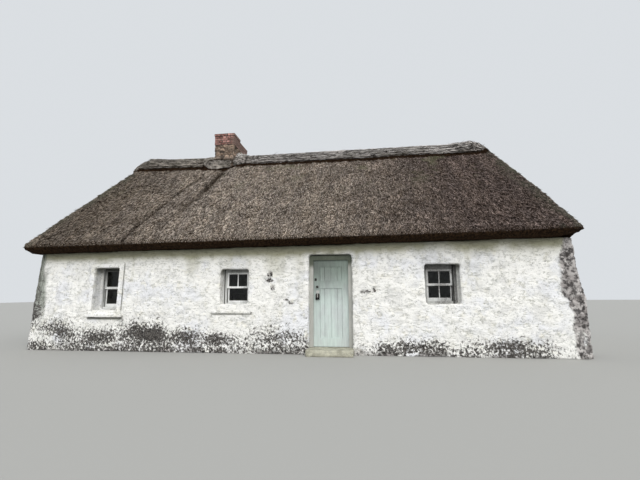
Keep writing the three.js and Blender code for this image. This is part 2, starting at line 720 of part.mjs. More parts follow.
function addCouple(name, x) {
  const foot = wallTop(x + COUPLE.thickness / 2) + GAP;
  const outerY = LOFT.y + COUPLE.reach;
  const peakY = LOFT_RIDGE.y + COUPLE.reach;
  const peakZ = LOFT_RIDGE.z;
  const slope = (peakZ - foot) / (outerY - peakY);
  const across = COUPLE.depth / Math.sin(Math.atan(slope)) + COUPLE.reach;
  const innerY = (z) => outerY - across - (z - foot) / slope;
  const innerPeak = foot + (outerY - across) * slope;
  const { tieFoot, tieHead } = COUPLE;
  const outline = [
    [-outerY, foot],
    [innerY(foot) * -1, foot],
    [innerY(tieFoot) * -1, tieFoot],
    [innerY(tieFoot), tieFoot],
    [innerY(foot), foot],
    [outerY, foot],
    [peakY, peakZ],
    [-peakY, peakZ],
  ];
  const hole = [
    [innerY(tieHead) * -1, tieHead],
    [0, innerPeak],
    [innerY(tieHead), tieHead],
  ];
  const half = COUPLE.thickness / 2;
  const whole = prismX(outline, x - half, x + half, [hole]);
  add(name, whole.intersect(loftSpace(GAP)), "timber");
}

addWalls();
addFloor();
addWindows();
addSill(FRONT_WINDOWS[0]);
addSurround(FRONT_WINDOWS[0]);
addLedge();
addDoor();
addThatch();
addRidge();
addChimney();
COUPLE_X.forEach((x, i) => addCouple("roof_couple_" + (i + 1), x));

export default cottage;
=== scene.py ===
import math

import bmesh
import bpy
import numpy as np
from mathutils import Matrix, Vector


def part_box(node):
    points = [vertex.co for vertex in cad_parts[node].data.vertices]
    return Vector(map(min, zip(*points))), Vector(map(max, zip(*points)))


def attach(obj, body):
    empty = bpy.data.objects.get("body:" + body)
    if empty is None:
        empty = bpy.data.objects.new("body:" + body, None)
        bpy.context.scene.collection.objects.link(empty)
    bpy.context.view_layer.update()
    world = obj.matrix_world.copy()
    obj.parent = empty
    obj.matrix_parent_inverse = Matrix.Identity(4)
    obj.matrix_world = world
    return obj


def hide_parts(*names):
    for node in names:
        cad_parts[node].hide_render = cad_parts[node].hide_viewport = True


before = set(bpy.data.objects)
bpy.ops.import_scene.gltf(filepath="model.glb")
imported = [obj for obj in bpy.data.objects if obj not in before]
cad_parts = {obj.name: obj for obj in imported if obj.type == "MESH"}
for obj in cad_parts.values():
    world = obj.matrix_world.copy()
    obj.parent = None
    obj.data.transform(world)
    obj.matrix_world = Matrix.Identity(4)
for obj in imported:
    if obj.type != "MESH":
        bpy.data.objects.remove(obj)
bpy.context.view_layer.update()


# Noise

def lattice(cells, seed):
    """A fixed random number from 0 to 1 for each whole-number cell."""
    x, y, z = (cells[:, k].astype(np.int64) for k in range(3))
    n = (x * 73856093) ^ (y * 19349663) ^ (z * 83492791) ^ (seed * 26544357)
    n = ((n ^ (n >> 13)) * 1274126177) & 0x7FFFFFFF
    n = ((n ^ (n >> 11)) * 668265263) & 0x7FFFFFFF
    return (n ^ (n >> 15)) / 0x7FFFFFFF


def soft_noise(points, size, seed):
    """Smooth noise from -1 to 1 with lumps of the given size: one number, or one for each axis."""
    cell = points / np.asarray(size, float)
    low = np.floor(cell)
    t = cell - low
    t = t * t * (3 - 2 * t)
    total = np.zeros(len(points))
    for corner in np.ndindex(2, 2, 2):
        pick = np.array(corner)
        weight = np.prod(np.where(pick, t, 1 - t), axis=1)
        total += weight * lattice(low + pick, seed)
    return total * 2 - 1


def layered_noise(points, size, seed, layers=3):
    size = np.asarray(size, float)
    total = sum(soft_noise(points, size / 2**k, seed + k) / 2**k for k in range(layers))
    return total / (2 - 2.0 ** (1 - layers))


def wavered(points, size, amount, seed):
    """The points, each moved a little by smooth noise."""
    return points + amount * np.stack([soft_noise(points, size, seed + k) for k in range(3)], axis=1)


def stone_field(points, size, seed):
    """How far each point lies inside its stone (0 at a joint, 1 well inside), and that stone's own number."""
    cell = points / np.asarray(size, float)
    low = np.floor(cell)
    first = np.full(len(points), 9.0)
    second = first.copy()
    own = np.zeros(len(points))
    for corner in np.ndindex(3, 3, 3):
        there = low + np.array(corner) - 1
        jitter = np.stack([lattice(there, seed + k) for k in range(3)], axis=1)
        away = np.linalg.norm(cell - there - 0.15 - 0.7 * jitter, axis=1)
        closer = away < first
        second = np.where(closer, first, np.minimum(second, away))
        own = np.where(closer, lattice(there, seed + 9), own)
        first = np.where(closer, away, first)
    return np.clip((second - first) / 0.45, 0, 1), own


def ramp(values, low, high):
    """0 below low, 1 above high and smooth between; high may be the smaller one."""
    t = np.clip((values - low) / (high - low), 0, 1)
    return t * t * (3 - 2 * t)


# Meshes

CORNER_JOINT = 2.0997
BOX_CORNERS = np.array([[x, y, z] for x in (0, 1) for y in (0, 1) for z in (0, 1)], float)
BOX_FACES = np.array([[0, 1, 3, 2], [4, 6, 7, 5], [0, 4, 5, 1], [2, 3, 7, 6], [0, 2, 6, 4], [1, 5, 7, 3]])


def mesh_from(name, vertices, faces):
    """A mesh from an array of vertices and an array of faces that all have the same number of corners."""
    mesh = bpy.data.meshes.new(name)
    faces = np.asarray(faces, np.int32)
    mesh.vertices.add(len(vertices))
    mesh.vertices.foreach_set("co", np.asarray(vertices, np.float32).ravel())
    mesh.loops.add(faces.size)
    mesh.loops.foreach_set("vertex_index", faces.ravel())
    mesh.polygons.add(len(faces))
    mesh.polygons.foreach_set("loop_start", np.arange(0, faces.size, faces.shape[1], dtype=np.int32))
    mesh.update(calc_edges=True)
    return mesh


def mesh_of(name, shape):
    """The mesh of a bmesh, which is freed."""
    mesh = bpy.data.meshes.new(name)
    shape.to_mesh(mesh)
    shape.free()
    return mesh


def triples(items, name):
    flat = np.empty(len(items) * 3, np.float32)
    items.foreach_get(name, flat)
    return flat.reshape(-1, 3).astype(float)


def points_of(mesh):
    return triples(mesh.vertices, "co")


def normals_of(mesh):
    return triples(mesh.vertex_normals, "vector")


def move_points(mesh, points):
    mesh.vertices.foreach_set("co", points.astype(np.float32).ravel())
    mesh.update()


def push_out(mesh, points, push):
    """Moves each point outwards by its own distance and gives the points where they are then."""
    moved = points + normals_of(mesh) * push[:, None]
    move_points(mesh, moved)
    return moved


def give(mesh, **numbers):
    """Stores numbers on the vertices for the materials; a shorter list is spread out in equal runs."""
    count = len(mesh.vertices)
    for name, values in numbers.items():
        values = np.atleast_1d(values).astype(np.float32)
        values = np.repeat(values, count // len(values))
        mesh.attributes.new(name, "FLOAT", "POINT").data.foreach_set("value", values)


def add_piece(mesh, material, replaces=(), body="root", smooth=True):
    piece = bpy.data.objects.new(mesh.name, mesh)
    bpy.context.scene.collection.objects.link(piece)
    mesh.materials.clear()
    mesh.materials.append(material)
    mesh.polygons.foreach_set("use_smooth", [smooth] * len(mesh.polygons))
    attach(piece, body)
    if replaces:
        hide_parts(*replaces)


def paint_node(node, material):
    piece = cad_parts[node]
    piece.data.materials.clear()
    piece.data.materials.append(material)


def evaluated(mesh, kind, settings, group=None):
    """The mesh after one modifier, in its place and under its name; its vertex group is "picked"."""
    holder = bpy.data.objects.new("holder", mesh)
    bpy.context.scene.collection.objects.link(holder)
    if group is not None:
        holder.vertex_groups.new(name="picked").add(np.flatnonzero(group).tolist(), 1.0, "REPLACE")
    modifier = holder.modifiers.new(kind, kind)
    for key, value in settings.items():
        setattr(modifier, key, value)
    graph = bpy.context.evaluated_depsgraph_get()
    made = bpy.data.meshes.new_from_object(holder.evaluated_get(graph))
    bpy.data.objects.remove(holder)
    name = mesh.name
    bpy.data.meshes.remove(mesh)
    made.name = name
    return made


def thinned(mesh, hidden, share=0.06):
    """The mesh with only a share of its faces left where it is hidden."""
    ratio = 1 - (1 - share) * hidden.mean()
    return evaluated(mesh, "DECIMATE", {"ratio": ratio, "vertex_group": "picked"}, hidden)


def even_skin(mesh, cell):
    return evaluated(mesh, "REMESH", {"mode": "VOXEL", "voxel_size": cell})


def remeshed(nodes, cell, reach=0.0):
    """The solids of one or more nodes under one even skin of small faces.

    With a reach, the flat ends at the corners of the house go that far into the next wall.
    """
    shape = bmesh.new()
    for node in nodes:
        shape.from_mesh(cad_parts[node].data)
    bmesh.ops.remove_doubles(shape, verts=shape.verts, dist=1e-5)
    for vertex in shape.verts:
        if reach and abs(abs(vertex.co.y) - CORNER_JOINT) < 0.001:
            vertex.co.y += math.copysign(reach, vertex.co.y)
    return even_skin(mesh_of(nodes[0] + "_skin", shape), cell)


def boxes_mesh(name, boxes, bevel, segments=2):
    """One mesh of boxes, each a (low corner, high corner) pair, with their edges rounded."""
    low, high = (np.array(corners, float)[:, None, :] for corners in zip(*boxes))
    vertices = (low + (high - low) * BOX_CORNERS).reshape(-1, 3)
    faces = (BOX_FACES[None] + 8 * np.arange(len(boxes))[:, None, None]).reshape(-1, 4)
    settings = {"width": bevel, "segments": segments, "limit_method": "NONE", "harden_normals": True}
    return evaluated(mesh_from(name, vertices, faces), "BEVEL", settings)


def lathe_mesh(name, rings, centre, sides):
    """A solid turned about the Y axis towards the front; each ring is a (radius, distance) pair."""
    angles = np.linspace(0, 2 * math.pi, sides, endpoint=False)
    vertices = [[r * math.cos(a), -d, r * math.sin(a)] for r, d in rings for a in angles]
    faces = []
    for k in range(len(rings) - 1):
        for i in range(sides):
            j = (i + 1) % sides
            faces.append([k * sides + i, k * sides + j, (k + 1) * sides + j, (k + 1) * sides + i])
    mesh = bpy.data.meshes.new(name)
    last = (len(rings) - 1) * sides
    caps = [list(range(sides))[::-1], list(range(last, last + sides))]
    mesh.from_pydata((np.array(vertices) + centre).tolist(), [], faces + caps)
    mesh.update()
    return mesh


def joined(name, meshes):
    shape = bmesh.new()
    for mesh in meshes:
        shape.from_mesh(mesh)
    return mesh_of(name, shape)


# Materials

class Look:
    """One material: the colour so far, and short words for the nodes that make and change it."""

    def __init__(self, name, colour=None):
        self.material = bpy.data.materials.new(name)
        self.material.use_nodes = True
        self.tree = self.material.node_tree
        self.place = self.node("ShaderNodeTexCoord").outputs["Object"]
        self.colour = colour

    def connect(self, socket, value):
        if isinstance(value, bpy.types.NodeSocket):
            self.tree.links.new(value, socket)
        elif socket.type == "RGBA":
            socket.default_value = (*value, 1)
        else:
            socket.default_value = value

    def node(self, kind, inputs=None, **settings):
        made = self.tree.nodes.new(kind)
        for key, value in settings.items():
            setattr(made, key, value)
        for key, value in (inputs or {}).items():
            self.connect(made.inputs[key], value)
        return made

    def noise(self, scale, stretch=(1, 1, 1), detail=4.0, rough=0.6, shift=(0, 0, 0)):
        moved = self.node("ShaderNodeMapping", {"Vector": self.place, "Scale": stretch, "Location": shift})
        inputs = {"Vector": moved.outputs[0], "Scale": scale, "Detail": detail, "Roughness": rough}
        return self.node("ShaderNodeTexNoise", inputs).outputs[0]

    def axis(self, index):
        return self.node("ShaderNodeSeparateXYZ", {0: self.place}).outputs[index]

    def stored(self, name):
        """The number that the mesh carries under this name."""
        return self.node("ShaderNodeAttribute", attribute_name=name).outputs["Fac"]

    def spread(self, value, low, high):
        """The value mapped smoothly so that low gives 0 and high gives 1."""
        inputs = {"Value": value, "From Min": low, "From Max": high}
        return self.node("ShaderNodeMapRange", inputs, interpolation_type="SMOOTHSTEP").outputs[0]

    def maths(self, operation, first, second):
        return self.node("ShaderNodeMath", {0: first, 1: second}, operation=operation).outputs[0]

    def product(self, first, second):
        return self.maths("MULTIPLY", first, second)

    def mix(self, share, first, second, blend="MIX"):
        inputs = {0: share, 6: first, 7: second}
        return self.node("ShaderNodeMix", inputs, data_type="RGBA", blend_type=blend).outputs[2]

    def between(self, value, low, high, first, second):
        """The first colour where the value is low or less, the second where it is high or more."""
        return self.mix(self.spread(value, low, high), first, second)

    def times(self, factor, share=1.0):
        """The colour so far multiplied by another, to the given share."""
        return self.mix(share, self.colour, factor, "MULTIPLY")

    def tint(self, where, factor, share=1.0):
        self.colour = self.mix(where, self.colour, self.times(factor, share))

    def cover(self, where, colour, share=None):
        """Lays a colour over the colour so far; with a share, only that much of it."""
        if share is not None:
            colour = self.mix(share, self.colour, colour)
        self.colour = self.mix(where, self.colour, colour)

    def finish(self, rough, height=None, strength=0.3, distance=0.01, shine=0.08, **more):
        shader = self.tree.nodes["Principled BSDF"]
        inputs = {"Base Color": self.colour, "Roughness": rough, "Specular IOR Level": shine, **more}
        for key, value in inputs.items():
            self.connect(shader.inputs[key], value)
        if height is not None:
            bump = self.node("ShaderNodeBump", {"Height": height, "Strength": strength, "Distance": distance})
            self.connect(shader.inputs["Normal"], bump.outputs[0])
        return self.material


def thatch_material():
    look = Look("weathered_thatch")
    straw = look.mix(look.stored("tone"), (0.030, 0.023, 0.018), (0.82, 0.73, 0.64))
    clump = look.noise(40, (1, 1, 0.6), 3)
    base = look.between(clump, 0.44, 0.58, (0.022, 0.016, 0.012), (0.30, 0.25, 0.205))
    look.colour = look.mix(look.stored("strand"), base, straw)
    combed = look.noise(2.4, (1.6, 0.3, 0.3), shift=(8, 0, 2))
    look.colour = look.times(look.between(combed, 0.40, 0.62, (0.88, 0.88, 0.89), (1.08, 1.07, 1.05)))
    along = look.maths("ADD", look.axis(0), look.product(look.noise(1.2), 1.2))
    purple = look.mix(look.stored("strand"), (0.30, 0.27, 0.28), (0.60, 0.54, 0.56))
    look.tint(look.spread(along, 0.8, 5.6), purple)
    look.tint(look.spread(along, -1.6, -5.2), (0.50, 0.48, 0.46))
    blotch = look.noise(2.6, (1, 1, 0.7), 6, shift=(4, 0, 0))
    look.tint(look.spread(blotch, 0.50, 0.66), (0.74, 0.71, 0.68), 0.8)
    look.tint(look.spread(blotch, 0.46, 0.34), (1.18, 1.16, 1.14), 0.8)
    patches = look.spread(look.noise(1.5, detail=6, shift=(9, 3, 1)), 0.54, 0.68)
    look.cover(look.product(patches, look.spread(look.axis(2), 3.6, 5.2)), (0.15, 0.155, 0.09), 0.5)
    mossed = look.product(look.stored("hip"), look.spread(blotch, 0.35, 0.6))
    look.cover(mossed, (0.105, 0.112, 0.085), 0.5)
    look.tint(look.stored("furrow"), (0.24, 0.22, 0.20))
    # Painted shade: where the stored under number is high (the cut under the eaves, the band right under the
    # ridge rolls and the eave reeds) the colour goes nearly black.
    cut = look.noise(26, (1, 1, 0.35), 5, 0.7, (6, 1, 3))
    shaded = look.between(cut, 0.40, 0.62, (0.010, 0.006, 0.004), (0.042, 0.025, 0.014))
    look.cover(look.stored("under"), shaded)
    return look.finish(0.95, look.noise(60, (1, 1, 0.5), 4, 0.7), 0.9, 0.02, 0.02)


def ridge_material():
    look = Look("ridge_straw")
    straw = look.mix(look.stored("tone"), (0.008, 0.007, 0.006), (0.97, 0.93, 0.90))
    fine = look.noise(44, (0.10, 1, 1), 4, 0.7)
    base = look.between(fine, 0.46, 0.56, (0.016, 0.013, 0.011), (0.34, 0.315, 0.295))
    look.colour = look.mix(look.stored("strand"), base, straw)
    look.tint(look.spread(look.axis(0), -1.5, -2.6), (0.83, 0.80, 0.75))
    look.cover(look.spread(look.noise(1.9, (0.6, 1, 1), 5), 0.46, 0.64), (0.13, 0.125, 0.10), 0.3)
    lichen = look.noise(17, detail=5, shift=(3, 3, 3))
    look.cover(look.spread(lichen, 0.66, 0.74), (0.50, 0.51, 0.47))
    # Painted shade where the stored under number is high: faces that look down, cracks between the layers and
    # the foot of the stack.
    look.cover(look.stored("under"), (0.018, 0.012, 0.009))
    return look.finish(0.95, fine, 0.8, 0.02, 0.02)


def limewash_material():
    look = Look("limewash")
    broad = look.noise(1.1, detail=6)
    middle = look.noise(5.5, detail=6, shift=(7, 1, 2))
    rough = look.noise(17, (1, 1, 1.6), 6, 0.75, (2, 7, 4))
    fine = look.noise(40, detail=5, rough=0.65)
    look.colour = look.between(broad, 0.48, 0.64, (0.95, 0.945, 0.915), (0.88, 0.89, 0.92))
    look.cover(look.spread(middle, 0.53, 0.70), (0.91, 0.895, 0.83))
    # Painted shade in the hollows of the rough bump.
    look.tint(look.spread(rough, 0.41, 0.33), (0.62, 0.625, 0.63))
    worn = look.product(look.spread(middle, 0.45, 0.33), look.spread(fine, 0.42, 0.58))
    look.cover(worn, (0.46, 0.465, 0.45), 0.7)
    # Fine crinkle lines, dented in the bump and painted in shade.
    bend = look.noise(7.0, (0.9, 1, 2.3), shift=(5, 5, 5))
    fold = look.maths("ABSOLUTE", look.maths("SUBTRACT", bend, 0.5), 0.0)
    crinkle = look.product(look.spread(fold, 0.030, 0.006), look.spread(middle, 0.42, 0.52))
    look.tint(crinkle, (0.64, 0.655, 0.625))
    # The stored joint number darkens the joints round the stones that show, and paints shade into the hollows
    # of the wall's lumps.
    look.cover(look.stored("joint"), (0.42, 0.425, 0.43), 0.6)
    # Stains from the thatch and their runs; along the top of the wall under the eave this also stands for
    # painted shade.
    look.cover(look.stored("stain"), (0.37, 0.36, 0.23), 0.85)
    streak = look.noise(14, (1, 1, 0.12), 5, 0.7)
    moss = look.between(streak, 0.40, 0.60, (0.070, 0.076, 0.060), (0.31, 0.335, 0.295))
    look.cover(look.stored("moss"), look.between(fine, 0.62, 0.66, moss, (0.72, 0.72, 0.68)))
    # Painted shade with some grime: at the heads of the window recesses, along the top of the wall under the
    # eave, on the upper rims of bare patches, and in the angles under the sill and the ledge and beside the
    # raised plaster.
    look.tint(look.stored("damp"), (0.30, 0.30, 0.28))
    stone = look.mix(look.stored("own"), (0.17, 0.16, 0.157), (0.43, 0.42, 0.415))
    grit = look.noise(9, detail=6, rough=0.72, shift=(3, 1, 7))
    speck = look.between(grit, 0.42, 0.58, (0.30, 0.29, 0.29), (1.75, 1.72, 1.70))
    look.cover(look.stored("bare"), look.mix(1.0, stone, speck, "MULTIPLY"))
    fleck = look.noise(19, (1, 1, 0.9), 7, 0.78, (1, 4, 6))
    grimy = look.maths("ADD", fleck, look.product(look.stored("grime"), 0.24))
    dirt = look.between(fine, 0.38, 0.60, (0.014, 0.013, 0.014), (0.15, 0.14, 0.13))
    look.cover(look.spread(grimy, 0.625, 0.665), dirt)
    folds = look.maths("SUBTRACT", look.product(rough, 2.5), crinkle)
    return look.finish(0.93, look.maths("ADD", fine, folds), 0.64, 0.020)


def paint_material(name, fresh, worn, wood, chips, dark=None):
    """Old paint, patchy and chipped to the wood; dark is (low, high, factor) for a darkening over that
    height.
    """
    look = Look(name)
    patch = look.noise(3.2, (1, 1, 0.6), 6)
    streak = look.noise(34, (1, 1, 0.08), 4, 0.65)
    fleck = look.noise(70, (1, 1, 0.5), 5, 0.7, (2, 5, 1))
    look.colour = look.between(patch, 0.40, 0.64, fresh, worn)
    look.colour = look.times(look.between(streak, 0.36, 0.68, (0.91, 0.91, 0.91), (1.04, 1.04, 1.04)))
    if dark:
        low, high, factor = dark
        above = look.maths("ADD", look.axis(2), look.product(patch, 0.25))
        look.tint(look.spread(above, low, high), factor)
    chipped = look.product(look.spread(fleck, chips - 0.04, chips), look.spread(patch, 0.42, 0.56))
    look.cover(chipped, wood)
    # The stored dirt number is grime and painted shade: at the heads of the window frames and sashes, on the
    # frames' set-back faces and cracks, and the shadow on the door's latch stile.
    look.tint(look.stored("dirt"), (0.07, 0.07, 0.06))
    return look.finish(0.55, look.maths("ADD", look.product(chipped, -1.2), streak), 0.35, 0.004, 0.25)


def glass_material():
    look = Look("old_glass")
    dirt = look.spread(look.noise(9, detail=6, rough=0.7), 0.50, 0.78)
    look.colour = look.mix(dirt, (0.44, 0.45, 0.40), (0.24, 0.245, 0.21))
    rough = look.maths("ADD", look.product(dirt, 0.35), 0.03)
    clear = {"Transmission Weight": 1.0, "IOR": 1.30}
    return look.finish(rough, look.noise(3.5, detail=2), 0.08, **clear)


def metal_material(name, colour, rusty, metallic):
    look = Look(name)
    spot = look.noise(60, detail=6, rough=0.65)
    rust = look.spread(spot, rusty - 0.05, rusty + 0.08)
    look.colour = look.mix(rust, colour, (0.16, 0.07, 0.035))
    bright = look.maths("SUBTRACT", metallic, look.product(rust, metallic))
    return look.finish(0.5, spot, 0.3, 0.002, 0.4, Metallic=bright)


def stone_material(name, dark, pale, scale, bump, lichen=0.0):
    look = Look(name)
    patch = look.noise(scale, detail=6)
    fine = look.noise(scale * 9, detail=5, rough=0.7)
    look.colour = look.between(patch, 0.35, 0.65, dark, pale)
    look.colour = look.times(look.between(fine, 0.36, 0.66, (0.72, 0.72, 0.72), (1.12, 1.12, 1.12)))
    if lichen:
        spotted = look.spread(look.noise(scale * 2.3, detail=6, shift=(5, 2, 8)), 0.60, 0.68)
        look.cover(look.product(spotted, lichen), (0.50, 0.51, 0.45))
    return look.finish(0.92, look.maths("ADD", patch, fine), bump)


def masonry_material(name, dark, pale, mortar, sooty):
    """Stones or bricks that carry their own tone, with mortar in the joints."""
    look = Look(name)
    fine = look.noise(34, detail=5, rough=0.75)
    look.colour = look.mix(look.stored("own"), dark, pale)
    look.colour = look.times(look.between(fine, 0.40, 0.60, (0.40, 0.40, 0.40), (1.5, 1.5, 1.5)))
    look.cover(look.product(look.spread(look.noise(6, detail=5), 0.54, 0.70), sooty), (0.09, 0.075, 0.065))
    look.cover(look.stored("joint"), mortar)
    bloom = look.spread(look.noise(24, detail=5, rough=0.7, shift=(4, 9, 2)), 0.56, 0.64)
    look.cover(look.product(bloom, 0.6), (0.46, 0.41, 0.36))
    # Painted shade: the stored deep number darkens the deep joints and the hole in the stack.
    look.cover(look.stored("deep"), (0.012, 0.009, 0.007))
    return look.finish(0.94, fine, 0.8, 0.012)


def timber_material():
    look = Look("old_timber")
    dark = (0.07, 0.05, 0.035)
    grain = look.noise(42, (1, 0.15, 0.15), 6, 0.7)
    look.colour = look.between(grain, 0.34, 0.68, dark, (0.16, 0.12, 0.085))
    look.cover(look.product(look.spread(look.noise(2.4), 0.45, 0.65), 0.5), dark)
    return look.finish(0.86, grain, 0.5, 0.004)


def flagstone_material():
    look = Look("flagstones")
    flags = {"Vector": look.place, "Scale": 1.5}
    edge = look.node("ShaderNodeTexVoronoi", flags, feature="DISTANCE_TO_EDGE").outputs["Distance"]
    joint = look.spread(edge, 0.035, 0.012)
    patch = look.noise(7, detail=6)
    look.colour = look.between(patch, 0.35, 0.65, (0.17, 0.165, 0.155), (0.29, 0.28, 0.265))
    look.colour = look.times(look.node("ShaderNodeTexVoronoi", flags).outputs["Color"], 0.12)
    look.cover(joint, (0.09, 0.085, 0.075))
    return look.finish(0.8, look.maths("SUBTRACT", patch, joint), 0.7, 0.012)


# Thatch

WALL_TOP = 2.462
WALL_TOP_RISE = 0.0105
SEAM = 0.0003
SEAT_INSET = 0.372
EAVE = {"left": 6.57, "right": 6.47, "y": 3.03, "z": 2.61, "radius": 0.17, "rise": 0.01}
END_INSET = {"left": 0.38, "right": 0.07}
RIDGE = {"left": 5.26, "right": 5.53, "y": 0.07, "z": 5.715, "inset": 0.066}
LOFT = {"left": 6.01, "right": 5.99, "y": 2.45, "radius": 0.12}
LOFT_RIDGE = {"left": 4.85, "right": 5.08, "y": 0.04, "z": 5.2, "radius": 0.035, "inset": 0.036}
WAVE_HEIGHT = 0.032
# A point this far above the inner skin of the coat belongs to its outer skin.
SKIN_GAP = 0.3
# The opening that the coat leaves for the chimney stack.
STACK = {"left": -2.725, "right": -2.095, "front": -0.5, "back": 0.75}
# The lower edge of the ridge rolls and the collar as (x, distance from the ridge) pairs.
ROLL_EDGE = np.array([
    (-5.66, 0.26),
    (-5.42, 0.40),
    (-5.07, 0.43),
    (-3.16, 0.43),
    (-2.86, 0.549),
    (-2.64, 0.59),
    (-2.20, 0.53),
    (-1.99, 0.44),
    (-1.75, 0.43),
    (4.50, 0.43),
    (5.43, 0.38),
    (5.66, 0.23),
])
# Parts of the coat's section: inside the roof, on the slope, under the eave.
INSIDE, SLOPE, UNDER = 0, 1, 2
# Levels round the eave as (inset, drop, part, share of the spacing).
EAVE_LEVELS = [
    (0.215, 0.160, UNDER, 1),
    (0.050, 0.084, UNDER, 0.7),
    (0, 0.024, SLOPE, 0.7),
    (0.024, -0.042, SLOPE, 1),
]
# Levels up the slope as (share of the height, bulge).
COAT_LEVELS = [
    (0.165, 0.018),
    (0.33, 0.030),
    (0.5, 0.033),
    (0.66, 0.034),
    (0.8, 0.024),
    (0.90, 0.014),
    (1.0, 0),
]
COATS = {
    "thatch_front": {"facing": 270, "columns": 330, "spacing": 0.040, "straws": 86000},
    "thatch_back": {"facing": 90, "columns": 170, "spacing": 0.080, "straws": 8000},
    "thatch_left_end": {"facing": 180, "columns": 84, "spacing": 0.070, "straws": 4000},
    "thatch_right_end": {"facing": 0, "columns": 84, "spacing": 0.070, "straws": 4000},
}
REEDS = {"thatch_front": 4200, "thatch_back": 800, "thatch_left_end": 500, "thatch_right_end": 500}
EAVE_ROWS = 4
# How far each side of the coat turns past the middle of its corners, in degrees.
OVER_HIP = 6
CORNER_COLUMNS = 7
STRAW_LENGTH = (0.045, 0.125)
STRAW_WIDTH = (0.010, 0.024)
REED_LENGTH = (0.012, 0.034)
REED_WIDTH = (0.006, 0.012)
STRAWS_A_PIECE = 48000
# Lines down the front slope as (x, distance from the ridge) pairs, with their width and depth.
FURROWS = [
    ([(-2.95, 0.85), (-3.06, 1.13), (-3.25, 1.43), (-3.42, 1.88), (-3.62, 2.35), (-3.86, 3.0)], 0.055, 1.0),
    ([(-2.36, 0.62), (-2.37, 0.84), (-2.50, 1.30)], 0.14, 0.72),
    ([(-2.37, 0.84), (-2.50, 1.30), (-2.63, 1.68), (-2.78, 1.99)], 0.12, 0.42),
    ([(-2.50, 1.30), (-2.63, 1.68), (-2.95, 2.35), (-3.25, 2.82)], 0.11, 0.35),
]


def level(left, right, y, radius, z, rise=0.0):
    return np.array([left, right, y, radius, z, rise])


def eave_level(inset, drop):
    left, right = (EAVE[end] - inset * END_INSET[end] for end in ("left", "right"))
    radius = max(EAVE["radius"] - inset, 0.09)
    return level(left, right, EAVE["y"] - inset, radius, EAVE["z"] - drop, EAVE["rise"])


def up_slope(share, *keys):
    """Measures of the coat at a share of the way from the eave to the ridge."""
    return (EAVE[key] + (RIDGE[key] - EAVE[key]) * share for key in keys)


def height_share(z):
    return np.clip((z - EAVE["z"]) / (RIDGE["z"] - EAVE["z"]), 0, 1)


def coat_level(share, bulge):
    left, right, y, z = up_slope(share, "left", "right", "y", "z")
    radius = EAVE["radius"] + (RIDGE["y"] - 0.005 - EAVE["radius"]) * share
    return level(left + bulge, right + bulge, y + bulge, radius, z, EAVE["rise"] * (1 - share))


def loft_level(shape, z, rise=0.0):
    return level(shape["left"], shape["right"], shape["y"], shape["radius"], z, rise)


def crown_level(shape):
    """The narrow line along the top of the roof, outside or in the loft."""
    return level(shape["left"] - shape["inset"], shape["right"] - shape["inset"], 0.004, 0.003, shape["z"])


def coat_sections(spacing):
    """Levels of the coat from its seat on the wall over the eave and the slope to the ridge and back inside.

    Each comes with the part of the section that starts there.
    """
    seat = eave_level(SEAT_INSET, 0)
    seat[4:] = (WALL_TOP + SEAM, WALL_TOP_RISE)
    stops = [(seat, UNDER, spacing)]
    stops += [(eave_level(inset, drop), part, spacing * step) for inset, drop, part, step in EAVE_LEVELS]
    stops += [(coat_level(share, bulge), SLOPE, spacing) for share, bulge in COAT_LEVELS]
    stops += [
        (crown_level(RIDGE), INSIDE, 1),
        (crown_level(LOFT_RIDGE), INSIDE, 1),
        (loft_level(LOFT_RIDGE, LOFT_RIDGE["z"]), INSIDE, 0.6),
        (loft_level(LOFT, WALL_TOP + SEAM, WALL_TOP_RISE), INSIDE, 1),
        (seat, INSIDE, 1),
    ]
    levels, parts = [], []
    for (a, part, step), (b, _, _) in zip(stops, stops[1:]):
        count = max(1, round(math.hypot(b[2] - a[2], b[4] - a[4]) / step))
        levels += [a + (b - a) * k / count for k in range(count)]
        parts += [part] * count
    return np.array(levels), np.array(parts)


def coat_side(levels, parts, node, facing, columns):
    """Points on one side of each level, from the middle of its first corner to the middle of its second."""
    left, right, y, radius, z, rise = (levels[:, k : k + 1] for k in range(6))
    west, east, south, north = radius - left, right - radius, radius - y, y - radius
    x0, y0, x1, y1 = {
        "thatch_front": (west, south, east, south),
        "thatch_right_end": (east, south, east, north),
        "thatch_back": (east, north, west, north),
        "thatch_left_end": (west, north, west, south),
    }[node]
    before = np.linspace(facing - 45 - OVER_HIP, facing, CORNER_COLUMNS)
    after = np.linspace(facing, facing + 45 + OVER_HIP, CORNER_COLUMNS)
    ends = np.radians(before), np.radians(after)
    first = x0 + radius * np.cos(ends[0]), y0 + radius * np.sin(ends[0])
    second = x1 + radius * np.cos(ends[1]), y1 + radius * np.sin(ends[1])
    share = np.linspace(0, 1, columns)[None, 1:-1]
    middle = [f[:, -1:] + (s[:, :1] - f[:, -1:]) * share for f, s in zip(first, second)]
    px, py = (np.concatenate(pieces, axis=1) for pieces in zip(first, middle, second))
    pz = z + rise * px
    turn = np.radians(np.concatenate([before, np.full(columns - 2, facing), after]))
    push = wave(px, py, pz) * np.sin(math.pi * height_share(z)) * (parts == SLOPE)[:, None]
    return np.stack([px + push * np.cos(turn), py + push * np.sin(turn), pz], axis=2)


def wave(x, y, z):
    """The coat's long shallow hollows and swells."""
    broad = np.sin(2.3 * x + 1.1 * z + 0.4)
    return WAVE_HEIGHT / 2 * (broad + np.sin(1.3 * x - 2.1 * z + 0.8 * y + 2))


